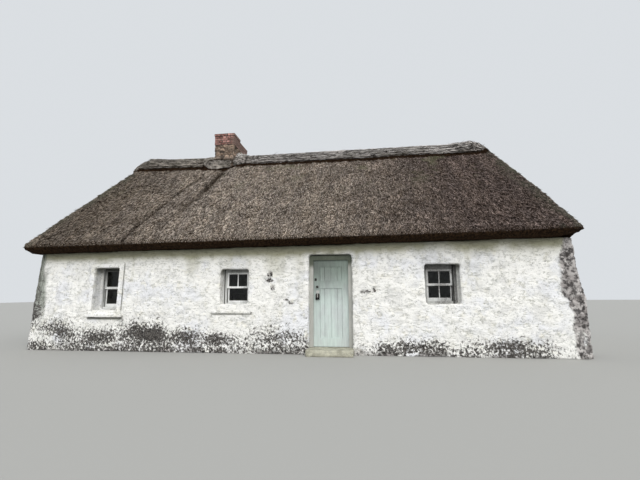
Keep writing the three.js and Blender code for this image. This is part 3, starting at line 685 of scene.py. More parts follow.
def clear_stack(points, sign):
    """Draws the points that lie within the chimney stack's opening back to its face."""
    edge = STACK["back"] if sign > 0 else -STACK["front"]
    x, y = points[..., 0], points[..., 1] * sign
    inside = (x > STACK["left"]) & (x < STACK["right"]) & (y < edge)
    high = RIDGE["z"] - (edge - RIDGE["y"]) * (RIDGE["z"] - EAVE["z"]) / (EAVE["y"] - RIDGE["y"])
    fall = (LOFT_RIDGE["z"] - WALL_TOP) / (LOFT["y"] - LOFT_RIDGE["y"])
    low = LOFT_RIDGE["z"] - (edge - LOFT_RIDGE["y"]) * fall
    outer = (points[..., 2] > low + SKIN_GAP) & inside
    points[..., 2] = np.where(outer, np.minimum(points[..., 2], high), points[..., 2])
    points[..., 2] = np.where(inside & ~outer, np.minimum(points[..., 2], low), points[..., 2])
    points[..., 1] = np.where(inside, edge * sign, points[..., 1])


def near_line(points, line, width):
    """1 on a line down the front slope, fading out over its width."""
    here = np.stack([points[:, 0], -points[:, 1]], axis=1)
    best = np.full(len(here), 9.0)
    for a, b in zip(np.array(line), np.array(line[1:])):
        along = b - a
        t = np.clip(((here - a) @ along) / (along @ along), 0, 1)
        best = np.minimum(best, np.linalg.norm(here - a - t[:, None] * along, axis=1))
    return np.exp(-((best / width) ** 2))


def furrow_depth(points):
    wander = points.copy()
    wander[:, 0] += 0.07 * soft_noise(points, 0.45, 61)
    on_front = points[:, 1] < -0.3
    return sum(near_line(wander, line, width) * depth for line, width, depth in FURROWS) * on_front


def hip_nearness(points):
    """1 near the four hips of the roof, 0 away from them."""
    x, y, z = points.T
    half, left, right = up_slope(height_share(z), "y", "left", "right")
    away = np.hypot(np.where(x > 0, right, left) - np.abs(x), half - np.abs(y))
    return ramp(away + 0.25 * layered_noise(points, 0.5, 62), 0.50, 0.05)


def above_eave(points):
    return points[:, 2] - EAVE["z"] - EAVE["rise"] * points[:, 0]


def underside(points):
    """1 on the square cut under the eaves, 0 on the slope above it; the coat is painted in shade there."""
    end = 0.030 * ramp(points[:, 0], 5.0, 6.2)
    ragged = 0.008 * soft_noise(points, 0.07, 52)
    return ramp(above_eave(points) - end + ragged, -0.018, -0.036)


def ridge_shade(points):
    """1 in the deep shade right under the edge of the ridge rolls and the collar."""
    x, y, z = points.T
    below = np.abs(y) - np.interp(x, *ROLL_EDGE.T) + 0.012 * soft_noise(points, 0.12, 53)
    below += 0.035 * ramp(x, -3.0, -2.8) * ramp(x, -2.0, -2.2)
    return ramp(below, 0.085, 0.060) * (np.abs(x) < ROLL_EDGE[-1, 0]) * (z > 4.8)


# How much painted shade darkens the coat: the cut under the eaves and the band right under the ridge rolls.
def coat_shade(points):
    return np.maximum(underside(points), ridge_shade(points))


def roughen_coat(mesh, weight, under):
    """Pushes the coat's skin in and out: hollows, clumps, single bundles and the furrows."""
    points = points_of(mesh)
    furrow = furrow_depth(points)
    push = 0.007 * layered_noise(points, 1.1, 3)
    push += 0.010 * layered_noise(points, (0.26, 0.26, 0.30), 11)
    push += 0.014 * soft_noise(points, (0.065, 0.11, 0.11), 21)
    push += 0.010 * soft_noise(points, (0.038, 0.05, 0.05), 31)
    push -= 0.050 * furrow
    sag = 0.016 * layered_noise(points * (1, 0.2, 0), 0.9, 41) * ramp(points[:, 2], 2.95, 2.6)
    ragged = 0.010 * soft_noise(points, (0.05, 0.09, 1.0), 51) * under
    points += normals_of(mesh) * (push * weight)[:, None]
    points[:, 2] += (sag + ragged) * np.minimum(weight * 2, 1)
    tip = ramp(points[:, 0], 5.95, 6.45) * ramp(np.abs(points[:, 1]), 2.2, 2.7)
    points[:, 2] += 0.10 * tip * ramp(points[:, 2], EAVE["z"] + 0.05, EAVE["z"] - 0.08)
    move_points(mesh, points)
    return furrow


def closed_grid(name, grid):
    """A closed tube of quads through a grid of sections, with a cap on each end."""
    rows, columns = grid.shape[:2]
    r, c = np.meshgrid(np.arange(rows), np.arange(columns - 1), indexing="ij")
    here, up = r * columns + c, (r + 1) % rows * columns + c
    quads = np.stack([here, here + 1, up + 1, up], axis=-1).reshape(-1, 4)
    mesh = mesh_from(name, grid.reshape(-1, 3), quads)
    shape = bmesh.new()
    shape.from_mesh(mesh)
    shape.verts.ensure_lookup_table()
    shape.faces.new([shape.verts[r * columns] for r in range(rows)])
    shape.faces.new([shape.verts[r * columns + columns - 1] for r in reversed(range(rows))])
    bmesh.ops.recalc_face_normals(shape, faces=shape.faces)
    shape.to_mesh(mesh)
    shape.free()
    mesh.update()
    return mesh


def unit(vectors):
    return vectors / np.maximum(np.linalg.norm(vectors, axis=1, keepdims=True), 1e-9)


def turned(down, side, spread_angle, rng):
    angle = rng.normal(0, spread_angle, (len(down), 1))
    return down * np.cos(angle) + side * np.sin(angle), side * np.cos(angle) - down * np.sin(angle)


def outward(out, roots):
    """Flips the directions that point towards the line through the middle of the house."""
    away = roots * (0, 1, 1) - (0, 0, 1.5)
    return np.where(np.sum(out * away, axis=1, keepdims=True) < 0, -out, out)


def needles(roots, down, side, out, length, width, thick, lift):
    """Thin four-sided straws: each a closed spike from its root to a tip that stands a little proud."""
    corners = np.stack([
        roots - side * width / 2 - out * thick,
        roots + side * width / 2 - out * thick,
        roots + out * thick,
        roots + down * length + out * lift,
    ], axis=1)
    faces = np.array([[0, 1, 3], [1, 2, 3], [2, 0, 3], [0, 2, 1]])
    index = (faces[None] + 4 * np.arange(len(roots))[:, None, None]).reshape(-1, 3)
    return corners.reshape(-1, 3), index


def sample_grid(grid, count, spread_angle, rng):
    """Random places on a grid of points, spread evenly by area, each with its ways down, across and out."""
    a, b, c = grid[:-1, :-1], grid[1:, :-1], grid[:-1, 1:]
    area = np.linalg.norm(np.cross(b - a, c - a), axis=2).ravel()
    chosen = rng.choice(area.size, count, p=area / area.sum())
    r, k = np.divmod(chosen, grid.shape[1] - 1)
    u, v = rng.random((2, count, 1))
    root = grid[r, k] * (1 - u) * (1 - v) + grid[r + 1, k] * u * (1 - v)
    root += grid[r, k + 1] * (1 - u) * v + grid[r + 1, k + 1] * u * v
    down = unit(grid[r, k] - grid[r + 1, k])
    side = unit(grid[r, k + 1] - grid[r, k])
    out = unit(np.cross(side, -down))
    side = unit(np.cross(out, down))
    out = outward(out, root)
    return root, *turned(down, side, spread_angle, rng), out


def add_straws(name, grid, count, material, seed):
    rng = np.random.default_rng(seed)
    root, down, side, out = sample_grid(grid, count, 0.42, rng)
    above = above_eave(root)[:, None]
    long = rng.uniform(*STRAW_LENGTH, (count, 1)) * (0.25 + 0.75 * ramp(above, 0.02, 0.16))
    wide = rng.uniform(*STRAW_WIDTH, (count, 1))
    lift = rng.gamma(2.0, 0.004, (count, 1)) + 0.002
    mesh = mesh_from(name, *needles(root, down, side, out, long, wide, wide * 0.4, lift))
    tone = rng.beta(0.5, 1.05, count)
    tone += 0.08 * soft_noise(root, 0.35, seed) + 0.14 * soft_noise(root, 0.04, seed)
    # The straws carry the painted shade of the coat where they stand.
    give(mesh, tone=np.clip(tone, 0, 1), strand=1, under=coat_shade(root))
    give(mesh, hip=hip_nearness(root), furrow=furrow_depth(root))
    add_piece(mesh, material, smooth=False)


def add_coat(node, material, facing, columns, spacing, straws):
    """One slope of the roof with its straws; returns the grid of points that the straws stand on."""
    levels, parts = coat_sections(spacing)
    grid = coat_side(levels, parts, node, facing, columns)
    if node in ("thatch_front", "thatch_back"):
        clear_stack(grid, 1 if node == "thatch_back" else -1)
    mesh = closed_grid(node + "_coat", grid)
    part = np.repeat(parts, grid.shape[1])
    weight = np.select([part == SLOPE, part == UNDER], [1.0, 0.35], 0.0)
    furrow = roughen_coat(mesh, weight, part == UNDER)
    points = points_of(mesh)
    # Painted shade: full on the cut under the eaves and inside, and on the slope as coat_shade gives it.
    under = np.where(part == SLOPE, coat_shade(points), 1.0)
    give(mesh, tone=0.5 + 0.5 * soft_noise(points, 0.05, 5), strand=0, under=under)
    give(mesh, hip=hip_nearness(points), furrow=furrow)
    add_piece(mesh, material, [node])
    outer = points.reshape(*grid.shape)[parts == SLOPE]
    pieces = math.ceil(straws / STRAWS_A_PIECE)
    for k in range(pieces):
        add_straws(f"{node}_straw_{k}", outer, straws // pieces, material, 100 + columns + k)
    return outer


def add_eave_reeds(edges, material):
    """Cut straw ends that stand out along the edge of the eaves."""
    rng = np.random.default_rng(77)
    vertices, faces = [], []
    for node, edge in edges.items():
        count = REEDS[node]
        root, down, across, out = sample_grid(edge, count, 0.35, rng)
        long = rng.uniform(*REED_LENGTH, (count, 1))
        wide = rng.uniform(*REED_WIDTH, (count, 1))
        lift = rng.uniform(0, 0.008, (count, 1))
        corners, index = needles(root, down, across, out, long, wide, wide * 0.5, lift)
        faces.append(index + sum(map(len, vertices)))
        vertices.append(corners)
    mesh = mesh_from("eave_reeds", np.concatenate(vertices), np.concatenate(faces))
    tone = rng.beta(1.4, 3.2, len(mesh.vertices) // 4)
    # The reeds along the eave edge are painted in shade.
    give(mesh, tone=tone, strand=1, hip=0, furrow=0, under=0.8)
    add_piece(mesh, material, smooth=False)


def add_thatch(material):
    edges = {node: add_coat(node, material, **coat)[:EAVE_ROWS] for node, coat in COATS.items()}
    add_eave_reeds(edges, material)


# Ridge and collar

# The crest of each roll: places along x, and the height at each.
ROLL_CREST = {
    "ridge_roll_left": ([-5.66, -5.42, -5.07, -4.17, -3.15], [5.63, 5.77, 5.88, 5.812, 5.812]),
    "ridge_roll_right": ([-1.75, 1.2, 4.5, 5.16, 5.43, 5.66], [5.805, 5.812, 5.828, 5.905, 5.80, 5.635]),
    "chimney_collar": ([-3.15, -1.75], [5.85, 5.85]),
}
ROLL_STRAWS = {"ridge_roll_left": 4000, "ridge_roll_right": 11000, "chimney_collar": 3600}
ROLL_CELL = {"ridge_roll_left": 0.025, "ridge_roll_right": 0.028, "chimney_collar": 0.020}
LAYER = 0.095
STACK_FOOT = 5.535
LAID_LENGTH = (0.08, 0.20)
LAID_WIDTH = (0.009, 0.020)
# How far from a roll's ends its straws turn inwards.
ROLL_END = 0.55


def roughness(node):
    """How unruly the straw lies: 1 round the chimney, 0 along the ridge."""
    return 1.0 if node == "chimney_collar" else 0.0


def below_crest(points, node):
    return np.interp(points[:, 0], *ROLL_CREST[node]) - points[:, 2]


def stack_foot_shade(points):
    """1 in the painted shade along the line where the collar meets the front of the stack."""
    height = points[:, 2] - STACK_FOOT + 0.012 * soft_noise(points, 0.2, 78)
    across = ramp(points[:, 0], -2.98, -2.90) * ramp(points[:, 0], -2.22, -2.32)
    return np.exp(-((height / 0.032) ** 4)) * across * (points[:, 1] < -0.38)


def roll_layers(points, node):
    """The place within a layer of straw from 0 to 1, and 1 in the crack between two layers."""
    below = below_crest(points, node)
    ragged = 0.4 * roughness(node) * soft_noise(points, 0.2, 76)
    phase = np.mod(below / LAYER + (0.30 * soft_noise(points, (1.3, 1, 1), 71) + ragged), 1.0)
    crack = np.exp(-((np.minimum(phase, 1 - phase) / 0.15) ** 2)) * (below > 0.04)
    return phase, crack


def crack_shade(points, node):
    """1 where shade is painted in the longer stretches of the cracks between the layers."""
    _, crack = roll_layers(points, node)
    return crack * ramp(soft_noise(points, (0.6, 0.25, 0.25), 77), -0.7, -0.2) * (1 - roughness(node))


def add_ridge(material):
    """The ridge rolls and the collar: rough layers of long straw laid along the roof."""
    for node in ROLL_CREST:
        mesh = remeshed([node], ROLL_CELL[node])
        hidden = (normals_of(mesh)[:, 2] < -0.2) & (below_crest(points_of(mesh), node) > 0.12)
        mesh = thinned(mesh, hidden)
        points = points_of(mesh)
        rough = roughness(node)
        phase, crack = roll_layers(points, node)
        push = (0.016 * (0.5 - phase) - 0.014 * crack) * (1 - 0.7 * rough)
        push += 0.014 * layered_noise(points, (0.8, 0.2, 0.2), 72)
        push += (0.008 + 0.002 * rough) * soft_noise(points, (0.14 - 0.07 * rough, 0.04, 0.04), 73)
        points = push_out(mesh, points, push * ramp(below_crest(points, node), 0.62, 0.45))
        # Painted shade on the faces that look down, in the cracks between the layers and along the foot of
        # the stack.
        shade = ramp(normals_of(mesh)[:, 2], -0.3 * rough, -0.45 - 0.3 * rough)
        shade = np.maximum(np.maximum(shade, crack_shade(points, node)), stack_foot_shade(points))
        strand = 0.35 * rough * ramp(points[:, 0], -2.2, -2.5)
        give(mesh, tone=0.5 + 0.5 * soft_noise(points, 0.05, 75), strand=strand, under=shade)
        add_piece(mesh, material, [node])
        add_laid_straws(node, mesh, ROLL_STRAWS[node], 0.08 + 0.32 * rough, material)


def sample_mesh(mesh, keep, count, rng):
    """Random places on the faces whose corners are kept, spread evenly by area, with the way each faces."""
    mesh.calc_loop_triangles()
    corners = np.empty(len(mesh.loop_triangles) * 3, np.int32)
    mesh.loop_triangles.foreach_get("vertices", corners)
    corners = corners.reshape(-1, 3)
    corners = corners[keep[corners].all(axis=1)]
    a, b, c = (points_of(mesh)[corners[:, k]] for k in range(3))
    normal = np.cross(b - a, c - a)
    area = np.linalg.norm(normal, axis=1)
    chosen = rng.choice(len(area), count, p=area / area.sum())
    u, v = np.sort(rng.random((2, count, 1)), axis=0)
    root = a[chosen] * u + b[chosen] * (v - u) + c[chosen] * (1 - v)
    return root, unit(normal[chosen])


def add_laid_straws(node, mesh, count, angle, material):
    """Long straws that lie along a roll, drawn inwards at its ends."""
    rng = np.random.default_rng(5 + count)
    points = points_of(mesh)
    first, *_, last = ROLL_CREST[node][0]
    within = (points[:, 0] > first + 0.10) & (points[:, 0] < last - 0.10)
    root, out = sample_mesh(mesh, (below_crest(points, node) < 0.50) & within, count, rng)
    x = root[:, 0]
    near_end = np.minimum(x - first, last - x) < ROLL_END
    way = np.where(near_end, np.sign((first + last) / 2 - x), rng.choice([-1.0, 1.0], count))
    along = way[:, None] * (1, 0, 0)
    along = unit(along - out * np.sum(along * out, axis=1, keepdims=True))
    along, side = turned(along, unit(np.cross(out, along)), angle, rng)
    long = rng.uniform(*LAID_LENGTH, (count, 1)) * (1.35 - 2 * angle) * np.where(near_end, 0.5, 1.0)[:, None]
    wide = rng.uniform(*LAID_WIDTH, (count, 1))
    lift = rng.gamma(2.0, 0.003, (count, 1)) + 0.002
    straws = mesh_from(node + "_straw", *needles(root, along, side, out, long, wide, wide * 0.4, lift))
    tone = rng.beta(0.55, 1.0, count) + 0.28 * soft_noise(root, (0.9, 0.06, 0.06), 6)
    tone += 0.12 * roughness(node) * ramp(x, -2.2, -2.5) - 0.16 * ramp(x, 4.2, 5.0)
    # Painted shade on the straws that face down, along the foot of the stack and in the cracks.
    shade = np.maximum(ramp(out[:, 2], 0.1, -0.3), stack_foot_shade(root))
    shade = np.maximum(shade, 0.95 * crack_shade(root, node))
    give(straws, tone=np.clip(tone, 0, 1), strand=1, under=shade)
    add_piece(straws, material, smooth=False)


# Walls

# Points with a smaller y than this are on the face of the front wall.
FRONT = -2.45
# How much of the relief outside there is inside.
INNER_SHARE = 0.3
STONE = (0.26, 2.0, 0.13)
# Walls with the size of their faces and how far their ends reach into the next wall.
WALLS = [
    (["front_wall_left", "front_wall_over_door", "front_wall_right"], 0.031, 0),
    (["back_wall"], 0.054, 0),
    (["left_end_wall"], 0.042, 0.07),
    (["right_end_wall"], 0.042, 0.07),
]
# Plaster nodes with the size of their faces, how rough they are and how grey.
PLASTER = [
    ("left_window_sill", 0.014, 0.003, 0.0),
    ("left_window_surround", 0.012, 0.003, 0.0),
    ("middle_window_ledge", 0.011, 0.006, 0.5),
]
# Spots as (x, z, half width, half height).
SPALLS = [
    (-0.27, 1.79, 0.060, 0.070),
    (-0.28, 1.65, 0.085, 0.040),
    (-0.20, 1.48, 0.052, 0.062),
    (0.12, 1.21, 0.055, 0.025),
    (0.24, 1.13, 0.068, 0.026),
    (1.94, 1.38, 0.12, 0.034),
    (2.14, 1.43, 0.04, 0.05),
]
GRIMY_FOOT = [
    (-6.50, 1.05, 0.44, 0.80),
    (-5.5, 0.45, 0.80, 0.34),
    (-4.6, 0.32, 0.72, 0.34),
    (-3.3, 0.42, 0.85, 0.39),
    (-2.3, 0.34, 0.80, 0.28),
    (-1.5, 0.30, 0.70, 0.22),
    (-0.08, 0.36, 0.88, 0.36),
    (3.0, 0.18, 0.90, 0.20),
    (4.9, 0.22, 1.00, 0.20),
]
GRIMIEST = [(-3.13, 0.40, 0.58, 0.23)]
YELLOW_RUNS = [(-2.22, 2.15, 0.20, 0.45), (-0.16, 2.12, 0.30, 0.42)]
# Angles painted dark in shadow as (left, right, foot, head).
SHADOW_LINES = [
    (-4.86, -3.93, 0.745, 0.800),
    (-1.66, -0.69, 0.868, 0.892),
    (-3.990, -3.975, 0.95, 2.08),
]
# Window openings as (left, right, head).
OPENINGS = [(-4.77, -4.11, 2.00), (-1.49, -0.79, 1.93), (3.25, 4.01, 1.98)]


def spots(points, listed, rough=0.16, rim=(1.15, 0.75)):
    """How strongly points lie within spots with ragged edges."""
    wander = 0.45 * layered_noise(points, rough, 91)
    best = np.zeros(len(points))
    for x, z, wide, high in listed:
        away = np.hypot((points[:, 0] - x) / wide, (points[:, 2] - z) / high)
        best = np.maximum(best, ramp(away + wander, *rim))
    return best


def bare_stone(points):
    """Where the limewash has come off: small spalls, patches at the foot and the right front corner."""
    x, y, z = points.T
    bare = 0.5 * spots(points, SPALLS) * (y < FRONT)
    inner = 6.10 + 0.10 * ramp(z, 1.6, 0.6)
    ragged = 0.16 * layered_noise(points, 0.30, 92) + 0.07 * layered_noise(points, 0.09, 90)
    corner = ramp(x - inner + ragged, -0.02, 0.03)
    broken = ramp(layered_noise(points, 0.10, 93, 3), -0.62, -0.38)
    round_corner = ramp(y + 0.35 * layered_noise(points, 0.35, 92), -1.85, -2.0)
    bare = np.maximum(bare, corner * round_corner * broken)
    foot = ramp(z + 0.14 * layered_noise(points, 0.5, 94), 0.14, 0.02)
    return np.maximum(bare, foot * ramp(layered_noise(points, 0.35, 95), -0.2, 0.3))


def wall_stains(points):
    """The stains under the thatch with runs below it, and painted shade with grime at the heads of the window
    recesses and along the top of the wall.
    """
    x, y, z = points.T
    eaves = ramp(z, 2.02, 2.44) * ramp(layered_noise(points, (0.45, 0.45, 0.9), 96), -0.7, 0.3)
    runs = ramp(layered_noise(points, (0.22, 0.22, 1.6), 97), 0.1, 0.6) * ramp(z, 1.1, 2.3)
    # The band along the top of the wall under the eave: part stain, part painted shade.
    top = ramp(z - WALL_TOP_RISE * x + 0.03 * layered_noise(points, 0.3, 99), 2.16, 2.42)
    top *= 1 - 0.35 * ramp(x, 0.5, 2.5)
    yellow = spots(points, YELLOW_RUNS, 0.3, (1.4, 0.1))
    stain = np.clip(0.70 * eaves + 0.35 * runs + top + 0.45 * yellow, 0, 1)
    recess = 0.5 * top
    for left, right, head in OPENINGS:
        within = (x > left - 0.04) & (x < right + 0.04) & (y < -2.2)
        behind = ramp(y, -2.66, -2.58)
        recess = np.maximum(recess, within * behind * ramp(z, head - 0.22, head - 0.02))
    return stain, recess


def wall_grime(points):
    """The dirt along the foot of the walls and round the spalls."""
    front = points[:, 1] < FRONT
    grime = spots(points, GRIMY_FOOT, 0.3, (1.7, -0.3)) * front
    grime = np.maximum(grime, 0.8 * spots(points, SPALLS, 0.06, (1.7, 0.6)) * front)
    patchy = ramp(layered_noise(points, 0.8, 107) - 0.35 * ramp(points[:, 0], 0.5, 2.0), -0.7, 0.1)
    foot = ramp(points[:, 2] + 0.2 * layered_noise(points, 0.4, 98), 0.55, 0.12)
    grime = np.maximum(grime, 0.75 * foot * (0.3 + 0.7 * patchy))
    return grime + 0.38 * spots(points, GRIMIEST, 0.3, (1.5, 0.2)) * front


def wall_moss(points):
    """The moss round the left end of the house, thickest on its front corner."""
    x, y, z = points.T
    strip = x + 0.10 * layered_noise(points, (0.2, 0.2, 0.5), 100) + 0.09 * z
    moss = ramp(strip, -5.93, -6.01) * ramp(z + 0.3 * layered_noise(points, 0.4, 101), 0.4, 1.2)
    patchy = 0.25 + 0.75 * ramp(layered_noise(points, (1, 0.9, 0.8), 106), -0.5, 0.2)
    return 0.9 * moss * np.maximum(patchy, y < -2.3)


def shadow_lines(points):
    """1 in the painted shadow of the angles under the sill and the ledge and beside the raised plaster."""
    best = np.zeros(len(points))
    wander = 0.012 * soft_noise(points, 0.15, 105)
    x, z = points[:, 0] + wander, points[:, 2] + wander
    for left, right, foot, head in SHADOW_LINES:
        across = ramp(x, left - 0.02, left) * ramp(x, right + 0.02, right)
        up = ramp(z, foot - 0.02, foot + 0.01) * (points[:, 2] < head + 0.03)
        best = np.maximum(best, across * up)
    return best


def wall_relief(points, bare):
    """How far the skin stands out, how deep each point lies in a hollow, and the number of its stone."""
    wavy = wavered(points, 0.28, 0.06, 80)
    flat = wavy.copy()
    flat[:, 0] += flat[:, 1] * (np.abs(points[:, 0]) > 6.2)
    deep, own = stone_field(flat * (1, 0, 1), STONE, 85)
    shown = np.maximum(ramp(layered_noise(points, 0.9, 86), -0.1, 0.4), bare)
    lumps = layered_noise(wavy, (0.19, 0.19, 0.10), 87, 4)
    push = 0.013 * lumps + 0.010 * layered_noise(points, 0.55, 88)
    push += 0.009 * shown * (ramp(deep, 0, 0.5) - 0.6)
    push += bare * (0.012 * (ramp(deep, 0, 0.5) - 1.0) + 0.014 * (own - 0.5))
    push += 0.003 * soft_noise(points, 0.04, 89)
    # How dark to paint each point: shade in the hollows of the lumps, and dark joints round the stones that
    # show.
    hollow = 0.75 * ramp(-lumps, 0.05, 0.55) + 0.5 * shown * (1 - ramp(deep, 0.02, 0.28))
    return push, np.clip(hollow, 0, 1), own


def hidden_wall(points):
    """Whether points are inside the house, under the thatch or on the ground."""
    x, y, z = np.abs(points).T
    covered = ((z < 0.01) | (z > 2.36)) & (y < 2.48) & (x < 6.15)
    return covered | ((y < 2.22) & (x < 5.95))


def add_wall(nodes, cell, reach, material):
    mesh = remeshed(nodes, cell, reach)
    mesh = thinned(mesh, hidden_wall(points_of(mesh)))
    points = points_of(mesh)
    front = points[:, 1] < FRONT
    outer = np.maximum(ramp(np.abs(points[:, 1]), 2.50, 2.60), ramp(np.abs(points[:, 0]), 6.25, 6.36))
    bare = bare_stone(points) * outer
    # The upper rim of each bare patch is dented and painted in shade.
    lip = ramp(bare - bare_stone(points + (0, 0, 0.035)) * outer, 0.05, 0.5)
    stain, recess = wall_stains(points)
    push, hollow, own = wall_relief(points, bare)
    # The joint number carries the painted shade of the hollows as well as the joints.
    give(mesh, bare=bare, stain=stain * outer, joint=hollow * 0.6 * outer, own=own)
    give(mesh, grime=wall_grime(points) * outer, moss=wall_moss(points) * outer)
    weight = INNER_SHARE + (1 - INNER_SHARE) * outer
    points = push_out(mesh, points, (push - 0.010 * lip) * weight)
    # Painted shade, with grime in the recesses: the recess heads, the top of the wall, the rims of bare
    # patches and the shadow lines.
    give(mesh, damp=np.maximum(np.maximum(recess, 0.7 * lip), shadow_lines(points) * front))
    add_piece(mesh, material, nodes)


def add_plaster(node, cell, rough, grey, material):
    """A sill, ledge or band of old plaster with knocked edges."""
    mesh = remeshed([node], cell)
    points = points_of(mesh)
    push = rough * layered_noise(points, 0.12, 101) + rough * 0.5 * soft_noise(points, 0.03, 102)
    push_out(mesh, points, push)
    give(mesh, stain=0.25 * ramp(layered_noise(points, 0.3, 103), 0.0, 0.6))
    give(mesh, joint=grey * ramp(layered_noise(points, 0.14, 104), -0.2, 0.5))
    give(mesh, bare=0, damp=0, own=0, grime=0, moss=0)
    add_piece(mesh, material, [node])


def add_walls(material):
    for nodes, cell, reach in WALLS:
        add_wall(nodes, cell, reach, material)
    for node, cell, rough, grey in PLASTER:
        add_plaster(node, cell, rough, grey, material)


# Windows

BAR = 0.022
PUTTY = 0.006
CHANNEL = 0.016
# Members reach this far into each other.
LAP = 0.001
SASH_LAP = 0.002
BAR_INSET = 0.003
CRACK_DEPTH = 0.030
SASH_EDGE = 0.0022
FRAME_EDGE = 0.0025
# Glazing bars in each sash.
WINDOWS = {
    "left_window": {"upper": 0, "lower": 0},
    "middle_window": {"upper": 1, "lower": 0},
    "right_window": {"upper": 1, "lower": 1},
}
# Open cracks down the frames as (x, width), and grime with painted shade on each frame as (head, sides).
CRACKS = {"left_window": (-4.708, 0.018), "middle_window": (-1.447, 0.030), "right_window": (3.902, 0.028)}
FRAME_SHADE_AND_GRIME = {"left_window": (1.0, 0.15), "middle_window": (0.72, 0.12), "right_window": (0.72, 0.30)}
# How much painted shade and grime darkens the top rail of each upper sash under the head.
SASH_SHADE_AND_GRIME = {
    "left_window_upper_sash": 0.95,
    "middle_window_upper_sash": 0.25,
    "right_window_upper_sash": 0.25,
}


def ring_boxes(outer, inner, depth, lap):
    """Two uprights and two rails between an outer and an inner rectangle; the rails lap into the uprights."""
    (left, foot), (right, head) = outer
    (x0, z0), (x1, z1) = inner
    front, back = depth
    return [
        ((left, front, foot), (x0, back, head)),
        ((x1, front, foot), (right, back, head)),
        ((x0 - lap, front, foot), (x1 + lap, back, z0)),
        ((x0 - lap, front, z1), (x1 + lap, back, head)),
    ]


def sash_boxes(node, glass_node, bars, facing):
    """A sash's stiles, rails, putty and glazing bars, to the size of its node; facing is -1 to the front."""
    low, high = (np.array(corner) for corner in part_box(node))
    if "lower" in node:
        low[0] += CHANNEL * (low[0] < 0)
        high[0] -= CHANNEL * (low[0] > 0)
    pane_low, pane_high = (np.array(corner)[::2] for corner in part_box(glass_node))
    front, back = low[1], high[1]
    boxes = ring_boxes((low[::2], high[::2]), (pane_low, pane_high), (front, back), SASH_LAP)
    face = front if facing < 0 else back
    depth = sorted((face - 0.004 * facing, (front + back) / 2))
    boxes += ring_boxes((pane_low, pane_high), (pane_low + PUTTY, pane_high - PUTTY), depth, PUTTY)
    for x in np.linspace(pane_low[0], pane_high[0], bars + 2)[1:-1]:
        low_corner = (x - BAR / 2, front + BAR_INSET, pane_low[1])
        boxes.append((low_corner, (x + BAR / 2, back - BAR_INSET, pane_high[1])))
    return boxes


def add_sash(node, glass_node, bars, paint, glass, facing=-1):
    mesh = boxes_mesh(node + "_joinery", sash_boxes(node, glass_node, bars, facing), SASH_EDGE)
    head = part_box(node)[1][2]
    # Painted shade with grime along the top rail under the head.
    give(mesh, dirt=SASH_SHADE_AND_GRIME.get(node, 0) * ramp(points_of(mesh)[:, 2], head - 0.055, head - 0.035))
    add_piece(mesh, paint, [node], smooth=False)
    paint_node(glass_node, glass)


def frame_members(name):
    """A box frame's members, each as (left, right, foot, head, set back, shade and grime), with its crack
    left open.
    """
    low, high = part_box(name + "_frame")
    x0, _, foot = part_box(name + "_lower_sash")[0]
    x1, _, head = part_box(name + "_upper_sash")[1]
    crack, width = CRACKS[name]
    head_shade_and_grime, side_shade_and_grime = FRAME_SHADE_AND_GRIME[name]
    members = []
    for left, right in ((low[0], x0), (x1, high[0])):
        if left < crack < right:
            members += [
                (left, crack - width / 2, low[2], high[2], 0, side_shade_and_grime),
                (crack + width / 2, right, low[2], high[2], 0, side_shade_and_grime),
                # The member behind the crack is painted dark, as shade.
                (left + LAP, right - LAP, low[2], high[2], CRACK_DEPTH, 1.0),
            ]
        else:
            members.append((left, right, low[2], high[2], 0, side_shade_and_grime))
    members.append((x0 - LAP, x1 + LAP, head, high[2], 0, head_shade_and_grime))
    members.append((x0 - LAP, x1 + LAP, low[2], foot, 0, side_shade_and_grime))
    return members


def add_frame(name, paint):
    members = frame_members(name)
    front, back = (corner[1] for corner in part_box(name + "_frame"))
    boxes = [((x0, front + set_back, z0), (x1, back, z1)) for x0, x1, z0, z1, set_back, _ in members]
    mesh = boxes_mesh(name + "_frame_joinery", boxes, FRAME_EDGE)
    points = points_of(mesh)
    # Painted shade on the faces set back from the front of the frame.
    behind = ramp(points[:, 1], front + 0.004, front + 0.030)
    dirt = np.repeat([own_shade_and_grime for *_, own_shade_and_grime in members], len(points) // len(members))
    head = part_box(name + "_upper_sash")[1][2]
    # Painted shade with grime along the head.
    top = ramp(points[:, 2], head - 0.10, head + 0.01) * (dirt < 0.5) * 0.6
    give(mesh, dirt=np.clip(np.maximum(dirt, 0.85 * behind) + top, 0, 1))
    add_piece(mesh, paint, [name + "_frame"], smooth=False)


def add_windows(white, old, glass):
    for name, bars in WINDOWS.items():
        paint = old if name == "right_window" else white
        for part, count in bars.items():
            add_sash(f"{name}_{part}_sash", f"{name}_{part}_glass", count, paint, glass)
        add_frame(name, paint)
    for name in ("back_left_window", "back_right_window"):
        add_sash(name + "_sash", name + "_glass", 1, white, glass, 1)
        paint_node(name + "_frame", white)


# Door

STILE = 0.162
BOTTOM_RAIL_HEAD = 0.343
LOCK_RAIL = (1.461, 1.641)
TOP_RAIL_FOOT = 1.962
BOARD_JOINTS = (1.0, 1.15, 1.30)
BOARD_GAP = 0.008
BOARD_INSET = 0.012
DOOR_EDGE = 0.003
# Turned profiles as (radius, distance from the leaf).
KNOB = [(0.026, 0), (0.027, 0.004), (0.024, 0.008), (0.012, 0.012), (0.011, 0.03), (0.019, 0.037)]
KNOB += [(0.026, 0.046), (0.027, 0.053), (0.023, 0.061), (0.012, 0.066), (0.002, 0.067)]
LATCH_FACE = [(0.023, 0), (0.023, 0.010), (0.020, 0.014), (0.003, 0.014)]
